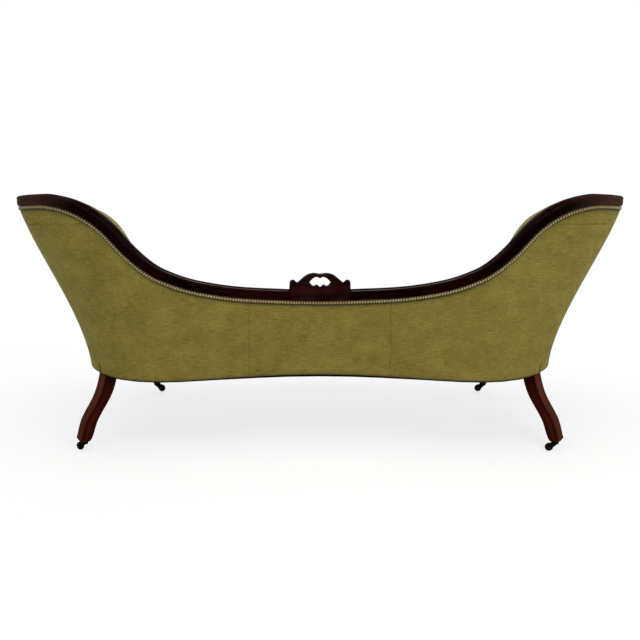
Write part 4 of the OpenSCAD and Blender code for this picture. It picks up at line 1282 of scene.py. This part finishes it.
for level in np.linspace(0, 1, 14):
    r = 0.0056 * math.sin(math.pi * min(level + 0.02, 0.98)) ** 0.7 * (1 - 0.30 * level)
    bud.append(np.stack([r * lobes * np.cos(turn), 0.0420 + 0.0166 * level + 0 * turn,
                         1.5 * r * lobes * np.sin(turn)], 1))
parts.append(loft("bud", bud, loop=True))
for side in (-1, 1):
    parts.append(disc("ear_knob", side * ear[0], ear[1], 0.0094, face_z * 1.04, 12))
    parts.append(disc("volute_disc", side * volute[0], volute[1], 0.0063, face_z * 0.96, 10))
join_into(crest, parts)
bend_to_rail(crest, rail_proud + 0.0012 - face_z)
flat_map = crest.data.uv_layers.get("UVMap") or crest.data.uv_layers.new(name="UVMap")
loops = np.array([corner.vertex_index for corner in crest.data.loops])
flat_map.data.foreach_set("uv", places_of(crest)[loops][:, [0, 2]].ravel())
finish_piece(crest, "settee", crest_wood, ["crest"])
compare_with_node(crest, "crest")

# %% [markdown]
# ## Inside back and seat: padded cloth, blown up by a cloth simulation
#
# The inside back is three stuffed panels, sewn together at two seams and tacked under the inner
# braid. Each starts as a closed loft a little slimmer than the real pad. Blender's Cloth then
# blows it up with some pressure while its back, foot and top edge are pinned, so its face takes
# the soft, slightly uneven swell of real stuffing. The move is capped, so it can't reach its
# neighbours.


# %% Blow up a padded piece
def blow_up(ob, pinned, cap, pressure=4.0):
    """Run Cloth on a copy of the mesh and keep how far each free point moved, up to a cap."""
    before = places_of(ob)
    copy = new_object(ob.name + "_swell", ob.data.copy())
    group = copy.vertex_groups.new(name="pinned")
    group.add([int(k) for k in np.flatnonzero(pinned)], 1.0, "REPLACE")
    cloth = copy.modifiers.new("cloth", "CLOTH")
    setting = cloth.settings
    setting.quality, setting.mass = 5, 0.35
    setting.tension_stiffness = setting.compression_stiffness = 12
    setting.shear_stiffness, setting.bending_stiffness = 5, 0.6
    setting.use_pressure, setting.uniform_pressure_force = True, pressure
    setting.vertex_group_mass = "pinned"
    setting.effector_weights.gravity = 0
    cloth.collision_settings.use_collision = False
    for frame_now in range(1, swell_frames + 1):
        scene.frame_set(frame_now)
    shape = copy.evaluated_get(bpy.context.evaluated_depsgraph_get())
    move = places_of(shape) - before
    bpy.data.objects.remove(copy)
    scene.frame_set(1)
    far = np.linalg.norm(move, axis=1, keepdims=True)
    move *= np.minimum(1, cap / np.maximum(far, 1e-9))
    print(ob.name, "swelled by up to", round(float(np.minimum(far, cap).max()) * 1000, 1), "mm")
    return before + move


swell_frames = 20


def denser(grid, axis):
    """Twice as many points along one axis, on smooth curves through the given ones."""
    g = np.moveaxis(np.asarray(grid, float), axis, 0)
    slope = np.gradient(g, axis=0)
    out = np.empty((2 * len(g) - 1, *g.shape[1:]))
    out[0::2] = g
    out[1::2] = (g[:-1] + g[1:]) / 2 + (slope[:-1] - slope[1:]) / 8
    return np.moveaxis(out, 0, axis)


def fine_loft(name, grid, u, v):
    """A loft through twice as many rows and columns, with its UV map refined alike."""
    fine = denser(denser(grid, 0), 1)
    flat = denser(denser(np.stack([u, v], -1), 0), 1)
    flat = np.concatenate([flat, flat[:, -1:]], 1)
    return loft(name, fine, (flat[..., 0], flat[..., 1]), loop=True)


# %% Sizes of the inside back
pad_start, pad_t, pad_up, pad_seam_s = 0.062, 0.078, 0.025, 0.82
pad_draw, pad_edge_share, pad_slack = 0.070, 0.55, 0.0030
pad_swell, seat_swell = 0.009, 0.006
pad_z, pad_back, cloth_t = seat_z + pad_start, frame_in + 0.0026, 0.0018
pad_shares = [[0, .80], [.06, .94], [.18, 1], [.34, 1], [.52, .94], [.70, .84], [.84, .72],
              [.93, .56], [.98, .36], [1, .12]]
pad_wall_shares = [.55, .62, .8, 1, 1, .9, .62]


def pad_face_t(s):
    """Thickness of the pads where no seam draws them in."""
    return pad_t * table_at(pad_wall_shares, 0.5, s)


def pad_thick(s, a, b):
    """The same, drawn in towards the seams at stations a and b."""
    far = np.minimum(s - a, b - s) * np.linalg.norm(plan(s)[1], axis=1) / pad_draw
    edge = pad_edge_share + (1 - pad_edge_share) * np.sqrt(np.clip(far * (2 - far), 0, 1))
    return pad_face_t(s) * np.where(far >= 1, 1, edge)


def swing(at, pitch, power, drift=0.0):
    """A wave from 0 to 1, peaked by a power; drift shifts its phase along the way."""
    return (0.5 + 0.5 * np.cos(at * 2 * np.pi / pitch + drift)) ** power


# %% Inside back panels
def pad_rows(s, a, b, heights):
    """Rows of a slim pad at shares of its height: up its back, over its edge and down its face."""
    high = top_z(s) + upright(s, pad_up)
    back = [wall(s, pad_z + (top_z(s) - pad_z) * k / 8, pad_back) for k in range(9)]
    back.append(lining(s, high, pad_back))
    swell = curve_through(pad_shares, heights)[:, 0]
    thick = pad_thick(s, a, b)
    face = []
    for place, w in zip(heights[::-1], swell[::-1]):
        slack = pad_slack * math.sin(math.pi * min(max(place, 0), 1))
        full = min(max((place - .86) / .08, 0), 1) * (1 if place < .985 else .55)
        fat = 0.20 * pad_t * full * np.exp(-((np.abs(s) - 1.24) / 0.12) ** 2)
        inset = pad_back + thick * w + fat + gap + cloth_t - slack
        face.append(lining(s, pad_z + (high - pad_z) * place, inset))
    return np.stack(back + face, 1), len(back), high


def pad_dents(across, up, down, far_in):
    """Pull of the tacks above, folds at the seat, gathers at the seams, and a slow unevenness."""
    dent = 0.0022 * swing(across, 0.047, 3, 1.3 * np.sin(across * 11)) * np.exp(-down / 0.022)
    dent += 0.0016 * swing(across, 0.083, 2) * np.exp(-up / 0.05)
    dent += 0.0019 * swing(up, 0.039, 2, 0.8 * np.sin(up * 31)) * np.exp(-far_in / 0.014)
    slow = np.sin(across * 9 + 3 * np.sin(up * 8)) * np.sin(up * 13 + across * 4)
    for far, room in ((far_in, 0.08), (up, 0.08), (down, 0.06)):
        slow = slow * np.clip(far / room, 0, 1)
    return dent + 0.0016 * slow


def inside_back(name, a, b, nodes):
    s = walk(a, b, pad_step)[0]
    third = (s[1] - s[0]) / 3
    s = np.sort(np.concatenate([s, [a + third, a + 2 * third, b - third, b - 2 * third]]))
    at = walk_far(s)
    heights = np.concatenate([np.linspace(0, 0.08, 5)[:-1], np.linspace(0.08, 0.90, 33),
                              1 - 0.10 * (1 - np.linspace(0, 1, 12)[1:]) ** 1.3])
    rows, n_back, high = pad_rows(s, a, b, heights)
    slim = loft(name + "_slim", rows, loop=True)
    pinned = np.zeros(rows.shape[:2], bool)
    pinned[:, :n_back + 1] = pinned[:, -3:] = True
    pinned[0] = pinned[-1] = True
    swelled = blow_up(slim, pinned.ravel(), pad_swell).reshape(rows.shape)
    bpy.data.objects.remove(slim)
    full_h = (high - pad_z)[:, None]
    up = np.zeros(rows.shape[:2])
    up[:, n_back:] = heights[::-1]
    up = up * full_h
    across = at[:, None] + 0 * up
    dent = pad_dents(across, up, full_h - up, np.minimum(at, at[-1] - at)[:, None])
    dent[:, :n_back + 1] = 0
    pad = fine_loft(name, swelled + outward(s)[:, None, :] * dent[:, :, None], across, up)
    finish_piece(pad, "settee", lit_inside_cloth, nodes)


pad_half = gap / pace(pad_seam_s)
inside_back("inside_back_left_pad", -cover_end, -pad_seam_s - pad_half,
            ["inside_stuffing_left", "inside_cover_left"])
inside_back("inside_back_middle_pad", -pad_seam_s + pad_half, pad_seam_s - pad_half,
            ["inside_stuffing_centre", "inside_cover_centre"])
inside_back("inside_back_right_pad", pad_seam_s + pad_half, cover_end,
            ["inside_stuffing_right", "inside_cover_right"])

# %% [markdown]
# ## The sprung seat
#
# The seat is one stuffed form over springs. Its rings follow the wall behind and the swelled rail
# in front. They rise as a border, tuck in front of the inside back, and draw together over the
# crown towards a long middle line. The weave of its cover runs straight across the seat and turns
# down over the border, so its UV map is the plan of the seat, unfolded at the edge.


# %% Rings of the seat
seat_crown, seat_edge_h, front_lip, edge_room = 0.108, 0.076, 0.009, 0.003
seat_mid_share, spine_share, hessian_t, edge_ring = 0.6, 0.6, 0.0014, 5
stuff_z = seat_z + hessian_t + 2 * gap
edge_rise = seat_edge_h - hessian_t - 2 * gap
seat_low = end_s - gap / pace(end_s)
ring_s = walk(-seat_low, seat_low, seat_step)[0]
ring_u = np.linspace(1, -1, 73)[1:-1]


def seat_ring(back_in, front_in, pull, z):
    """A level of the seat, in from the wall and the rail, and drawn towards its middle line."""
    back = plan(ring_s)[0] - outward(ring_s) * (np.zeros(len(ring_s)) + back_in)[:, None]
    ring = np.concatenate([back, front_point(ring_u, front_in)])
    reach = half_w * spine_share
    middle = np.stack([np.clip(ring[:, 0], -reach, reach),
                       np.full(len(ring), rear_y - body_d * seat_mid_share), 0 * ring[:, 0]], 1)
    ring = ring + (middle - ring) * pull
    ring[:, 2] += z
    return ring


cover = gap + cloth_t
in_front = pad_back + pad_face_t(ring_s) + cloth_t + edge_room - cover
rings = []
for rise_share, lip in ((0, 0), (.5, 1), (.78, .8)):
    z = min(stuff_z + edge_rise * rise_share, pad_z - edge_room)
    rings.append(seat_ring(frame_in + gap, -front_lip * lip - cover, 0, z))
for rise_share, lip in ((.8, .75), (.93, .35)):
    z = stuff_z + edge_rise * rise_share
    rings.append(seat_ring(in_front, -front_lip * lip - cover, 0, z))
for crown, pull in ((.0, .006), (.12, .035), (.30, .10), (.58, .24), (.82, .42), (.95, .62),
                    (1, .84), (1, .97)):
    z = stuff_z + edge_rise + (seat_crown - seat_edge_h) * crown + cover
    rings.append(seat_ring(in_front, -cover, pull, z))
rings = np.stack(rings)

# %% Swell and creases of the seat
levels = np.arange(len(rings), dtype=float)
fine = np.concatenate([np.arange(0, 3, 0.34), np.arange(3, len(rings) - 1 + 1e-6, 0.25)])
flat = rings.reshape(len(rings), -1)
soft_rings = curve_through(np.concatenate([levels[:, None], flat], 1), fine)
hard = np.stack([np.interp(fine, levels, flat[:, k]) for k in range(flat.shape[1])], 1)
soft_rings = np.where((fine <= 3)[:, None], hard, soft_rings).reshape(len(fine), -1, 3)
soft_rings[0, :, 2] = stuff_z
seat = loft("seat_pad", soft_rings, loop=True)
pinned = np.zeros(soft_rings.shape[:2], bool)
pinned[:10] = True
swelled = blow_up(seat, pinned.ravel(), seat_swell, 2.5).reshape(soft_rings.shape)
edge_level = int(np.argmin(np.abs(fine - edge_ring)))
edge = soft_rings[edge_level]
run = unit(np.roll(edge, -1, 0) - np.roll(edge, 1, 0))
side_out = np.stack([run[:, 1], -run[:, 0], 0 * run[:, 0]], 1)
side_out *= np.sign((side_out * (edge - edge.mean(0))).sum(1))[:, None]
far = run_along(edge)
level = fine[:, None]
x, y = swelled[:, :, 0], swelled[:, :, 1]
sway = 0.0022 * np.sin(x * 9.5 + 2 * np.sin(y * 7)) * np.sin(y * 12 + 1.5 * np.sin(x * 5))
crease = 0.0014 * swing(far[None, :], 0.115, 4, 2 * np.sin(far * 5))
swelled[:, :, 2] += sway * np.clip((level - edge_ring) / 2, 0, 1)
crease = crease * np.exp(-((level - 3.4) / 1.2) ** 2) * (level > 0.3)
swelled -= side_out[None] * crease[:, :, None]
step_down = np.linalg.norm(np.diff(swelled, axis=0), axis=2)[:edge_level]
drop = np.zeros(swelled.shape[:2])
drop[:edge_level] = np.cumsum(step_down[::-1], 0)[::-1]
plan_u, plan_v = (np.where(level < edge_ring, edge[None, :, k] + side_out[None, :, k] * drop,
                           swelled[:, :, k]) for k in (0, 1))
bpy.data.objects.remove(seat)
seat = fine_loft("seat_pad", swelled, plan_u, plan_v)
for corner in seat.data.polygons[-1].loop_indices:
    at = seat.data.vertices[seat.data.loops[corner].vertex_index].co
    seat.data.uv_layers["UVMap"].data[corner].uv = at.xy
finish_piece(seat, "settee", lit_inside_cloth, ["seat_stuffing", "seat_cover"])
compare_with_node(seat, "seat_cover")

# %% [markdown]
# ## The braids
#
# A gimp is a narrow woven band with a row of small scalloped loops on it. Both trees make it: one
# sweeps the band along its path and the other sets a bead at every step. Each bead is a low dome
# of a few dozen faces, about three quarters as long as its step, so gaps show between the beads as
# they do in the photograph. The band in the gaps is painted dark as painted shade, and the bead
# tops paler as painted light.


# %% One bead and the three braids
def bead_object(length, width, height, twist):
    """A domed scallop: x along the braid, y across it, z out from it."""
    turn = circle(10)
    rows = []
    for up, size in ((-0.25, 0.92), (0.15, 1.0), (0.62, 0.86), (0.92, 0.52)):
        x = size * length / 2 * np.sign(np.cos(turn)) * np.abs(np.cos(turn)) ** 0.8
        y = size * width / 2 * np.sign(np.sin(turn)) * np.abs(np.sin(turn)) ** 0.8
        rows.append(np.stack([x + twist * y, y, 0 * x + up * height], 1))
    bead = loft("bead", rows, loop=True)
    loops = [corner.vertex_index for corner in bead.data.loops]
    bead.data.uv_layers["UVMap"].data.foreach_set("uv", places_of(bead)[loops][:, :2].ravel())
    # Painted light and shade: the braid's finish paints each bead paler by this height share, and
    # the band, which has none, dark.
    raised = bead.data.attributes.new("raised", "FLOAT", "POINT")
    raised.data.foreach_set("value", [(0.0, 0.25, 0.85, 1.0)[k // 10] for k in range(40)])
    bead.data.polygons.foreach_set("use_smooth", [True] * len(bead.data.polygons))
    bead.hide_render = bead.hide_viewport = True
    return bead


def gimp(name, node, points, faced, width, thick, step, twist=0.25, bead_share=0.64):
    """A band with a raised rim on both edges, and the row of beads between them."""
    flat, low, high = width * 0.46, thick * 0.30, thick * 0.46
    half = [(low, flat), (high, flat * 0.93), (high, flat * 0.80), (low, flat * 0.70)]
    band = [(0, -flat), (0, flat)] + half + [(up, -across) for up, across in half[::-1]]
    section = section_object(name + "_section", band)
    ob = grow(name, points, faced, sweep, gimp_cord, Section=section)
    bead = bead_object(step * 0.76, width * bead_share, thick * 0.95, twist)
    row = grow(name + "_beads", points + faced * low * 0.5, faced, beads, gimp_cord,
               Bead=bead, Step=step)
    for helper in (section, bead):
        bpy.data.objects.remove(helper)
    join_into(ob, [row])
    finish_piece(ob, "settee", gimp_cord, [node])
    compare_with_node(ob, node)


braid_t, bead_step = 0.0025, 0.0090
gimp_end = end_s - (gap + gimp_w) / pace(end_s)
s = walk(-gimp_end, gimp_end, path_step)[0]
under_rail = wall(s, top_z(s) - cloth_drop - upright(s, gimp_w / 2), -gap)
gimp("outside_braid", "outside_gimp", under_rail, outward(s), gimp_w, braid_t, bead_step)
over_pad = rail_point(s, -rail_in - gap, pad_up + 0.0032)
gimp("inside_braid", "inside_gimp", over_pad, -outward(s), 0.0060, 0.0052, 0.0068, 0.35, 0.80)
u = np.linspace(-0.952, 0.952, 241)
front = front_point(u, -gap) + (0, 0, seat_z - gimp_w / 2)
gimp("front_braid", "front_gimp", front, np.tile([[0.0, -1.0, 0.0]], (len(u), 1)), gimp_w, braid_t,
     bead_step)

# %% [markdown]
# ## Under the seat
#
# Jute webbing, waisted springs, hessian and a black dust cover fill the frame from below. The flat
# cloths start as copies of their solids, cut into a fine grid, so they can sag a little between the
# things that carry them. The springs are one coil, stood on every point of a small grid by a tree.


# %% Flat cloths under the seat
def cloth_from_node(name, node, finish, sag, step=0.03):
    """A copy of a flat solid, cut into squares and sagged."""
    source = bpy.data.objects[node]
    mesh = source.data.copy()
    ob = new_object(name, mesh)
    bm = bmesh.new()
    bm.from_mesh(mesh)
    bmesh.ops.transform(bm, matrix=source.matrix_world, verts=bm.verts)
    bmesh.ops.remove_doubles(bm, verts=bm.verts, dist=1e-6)
    co = np.array([v.co for v in bm.verts])
    for axis in (0, 1):
        for at in np.arange(co[:, axis].min() + step / 2, co[:, axis].max(), step):
            where, way = [0, 0, 0], [0, 0, 0]
            where[axis], way[axis] = at, 1
            geometry = list(bm.verts) + list(bm.edges) + list(bm.faces)
            bmesh.ops.bisect_plane(bm, geom=geometry, plane_co=where, plane_no=way, dist=1e-6)
    for v in bm.verts:
        v.co.z += sag(v.co.x, v.co.y)
    layer = bm.loops.layers.uv.new("UVMap")
    for face in bm.faces:
        for corner in face.loops:
            corner[layer].uv = corner.vert.co.xy
    bm.to_mesh(mesh)
    bm.free()
    while len(mesh.uv_layers) > 1:
        mesh.uv_layers.remove(mesh.uv_layers[0])
    finish_piece(ob, "settee", finish, [node], smooth=False)
    co = np.array([v.co for v in mesh.vertices])
    size = co.max(0) - co.min(0)
    area = sum(p.area for p in mesh.polygons) / 2
    return ob, (float(size[0]) * 1.01, float(size[1]) * 1.01), area


def belly(x, y):
    """1 in the middle of the seat and 0 at its rails."""
    return max(0.0, 1 - (x / 0.74) ** 2) * max(0.0, 1 - ((y + 0.05) / 0.29) ** 2)


dust, flat, area = cloth_from_node("dust_cover_cloth", "dust_cover", platform_cloth,
                                   lambda x, y: -0.007 * belly(x, y) ** 0.7)
cloth_from_node("webbing_across", "webbing_crosswise", jute,
                lambda x, y: -0.0012 * belly(x, y) + 0.0003 * math.cos(x * math.pi / 0.0876), 0.02)
cloth_from_node("webbing_along", "webbing_lengthwise", jute,
                lambda x, y: -0.0026 * belly(x, y) + 0.0003 * math.cos(y * math.pi / 0.0755), 0.02)
hessian, flat, area = cloth_from_node(
    "hessian_over_springs", "spring_hessian", jute,
    lambda x, y: -0.0002 * abs(math.sin(x * 18) * math.sin(y * 21)))

# %% Coil springs
stand = Growth("stand a piece on every point", {"Piece size": 1.0}, ["Piece"])
stand.end(stand.node("InstanceOnPoints", None, {
    0: stand.input("Geometry"), "Instance": stand.shape_of("Piece"),
    "Scale": stand.input("Piece size")}))
spring_h, spring_r, spring_turns = seat_rail_h - 2 * gap, 0.037, 5.5
waist_share, wire = 0.40, 0.0016
k = np.linspace(0, 1, 105)
turn = 2 * math.pi * spring_turns * k
radius = spring_r * (1 - waist_share * np.sin(math.pi * k) ** 1.2) - wire
rise_k = wire * 1.3 + (spring_h - 2.6 * wire) * (3 * k ** 2 - 2 * k ** 3)
line = np.stack([radius * np.cos(turn), radius * np.sin(turn), rise_k], 1)
run = unit(np.gradient(line, axis=0))
side_way = unit(np.stack([np.cos(turn), np.sin(turn), 0 * turn], 1))
up_way = np.cross(run, side_way)
ring = circle(6)[None, :, None]
tube = line[:, None] + wire * (np.cos(ring) * side_way[:, None] + np.sin(ring) * up_way[:, None])
coil = loft("coil", tube, loop=True)
coil.data.polygons.foreach_set("use_smooth", [True] * len(coil.data.polygons))
places = [(side * half_w * x, rear_y - body_d * row, rail_z + gap)
          for x in (0, .142, .41, .552, .694) for row in (.33, .55, .77)
          for side in ((1,) if x == 0 else (-1, 1))]
facing = np.tile([[0.0, 0.0, 1.0]], (len(places), 1))
springs = grow("seat_coils", places, facing, stand, spring_wire, Piece=coil)
bpy.data.objects.remove(coil)
finish_piece(springs, "settee", spring_wire, ["seat_springs"])

# %% [markdown]
# ## Solids kept from the construction
#
# The hidden frame and the castors have the right shapes already. They keep their solids and only
# get better materials: raw beech inside, and worn black iron on the castors.


# %% Finishes of the kept solids
def dress(finish, *nodes):
    for node in nodes:
        data = bpy.data.objects[node].data
        data.materials.clear()
        data.materials.append(finish)


dress(beech_across, "tacking_rails", "corner_blocks", "seat_cross_rails")
dress(beech_upright, "back_stays")
dress(beech_hemmed, "back_seat_rail", "end_seat_rail_left", "end_seat_rail_right")
dress(pin_steel, "castor_screws")
for end in ("rear", "front"):
    for side in ("left", "right"):
        dress(castor_iron, f"{end}_{side}_plate", f"{end}_{side}_horn")
        dress(pin_steel, f"{end}_{side}_axle")
        dress(wheel_iron, f"{end}_{side}_wheel")
print("dressed the kept solids")

# %% [markdown]
# ## Camera, floor and light
#
# The camera was found from the photograph with the castors, hem and rail as marks: it stands 3.2 m
# behind the settee, a little above it, and looks down by 14.6 degrees. The world is white to the
# camera and the floor nearly so, as in the photograph. Four soft lamps light the settee: one from
# above, a strong and a weak one from behind, and one from the front for the far side.


# %% Camera
camera_data = bpy.data.cameras.new("camera")
camera_data.lens, camera_data.sensor_width = 58.465, 36.0
camera = new_object("camera", camera_data)
camera.location = (0.0, 3.532, 1.284)
camera.rotation_euler = (math.radians(90 - 14.562), 0.0, math.radians(180))
scene.camera = camera

# %% Floor, world and lamps
def seen_ray(graph):
    """1 on rays from the camera, in reflections and through glass, 0 on rays that carry light."""
    light_path = graph.tree.nodes.new("ShaderNodeLightPath")
    camera, glossy, clear = (Wire(graph, light_path.outputs[f"Is {kind} Ray"])
                             for kind in ("Camera", "Glossy", "Transmission"))
    return camera.maths("MAXIMUM", camera.maths("MAXIMUM", camera, glossy), clear)


grid = np.linspace(-6, 6, 5)
floor = loft("floor", [[(x, y, -0.0005) for x in grid] for y in grid])
pale = Finish("pale floor", rough=0.9)
at = pale.place("Object")
x, y, _ = pale.split(at)
pale.surface(pale.mix(0.3 * pale.noise(at, 30.0, 3.0), srgb(245, 245, 244), srgb(232, 231, 229)))
white = pale.node("Emission", None, {"Color": (1, 1, 1, 1), "Strength": 1.0}, out="Emission")
far = (x * x + 2.2 * y * y).ramp(0.9, 6.0)
shown = pale.node("MixShader", None, {0: seen_ray(pale) * (0.74 + 0.26 * far),
                                      1: Wire(pale, pale.shader.outputs["BSDF"]), 2: white},
                  out="Shader")
pale.tree.links.new(shown.socket, pale.tree.nodes["Material Output"].inputs["Surface"])
floor.data.materials.append(pale.material)

scene.world = bpy.data.worlds.new("studio")
scene.world.use_nodes = True
studio = Graph(scene.world.node_tree)
soft = studio.tree.nodes["Background"]
soft.inputs["Color"].default_value = (1.0, 0.99, 0.975, 1)
soft.inputs["Strength"].default_value = 0.55
plain = studio.node("Background", None, {"Color": (1, 1, 1, 1), "Strength": 1.0})
shown = studio.node("MixShader", None, {0: seen_ray(studio), 1: Wire(studio, soft.outputs[0]),
                                        2: plain})
studio.tree.links.new(shown.socket, studio.tree.nodes["World Output"].inputs["Surface"])


def lamp(name, place, target, power, size):
    """A soft rectangular lamp at a place, turned to a target; power in watts."""
    light = bpy.data.lights.new(name, "AREA")
    light.energy, light.shape, light.size, light.size_y = power, "RECTANGLE", *size
    ob = new_object(name, light)
    ob.location = place
    ob.rotation_euler = (Vector(target) - Vector(place)).to_track_quat("-Z", "Y").to_euler()


lamp("overhead", (0, 0.6, 3.2), (0, 0.1, 0.4), 65, (3.4, 2.4))
lamp("behind_left", (2.6, 3.4, 1.9), (0.3, 0.2, 0.5), 6, (1.8, 1.6))
lamp("behind_right", (-2.2, 3.6, 1.9), (-0.1, 0.2, 0.5), 54, (1.8, 1.6))
lamp("front", (0, -3.2, 2.2), (0, 0, 0.4), 40, (3.0, 1.8))
scene.view_settings.view_transform = "Standard"
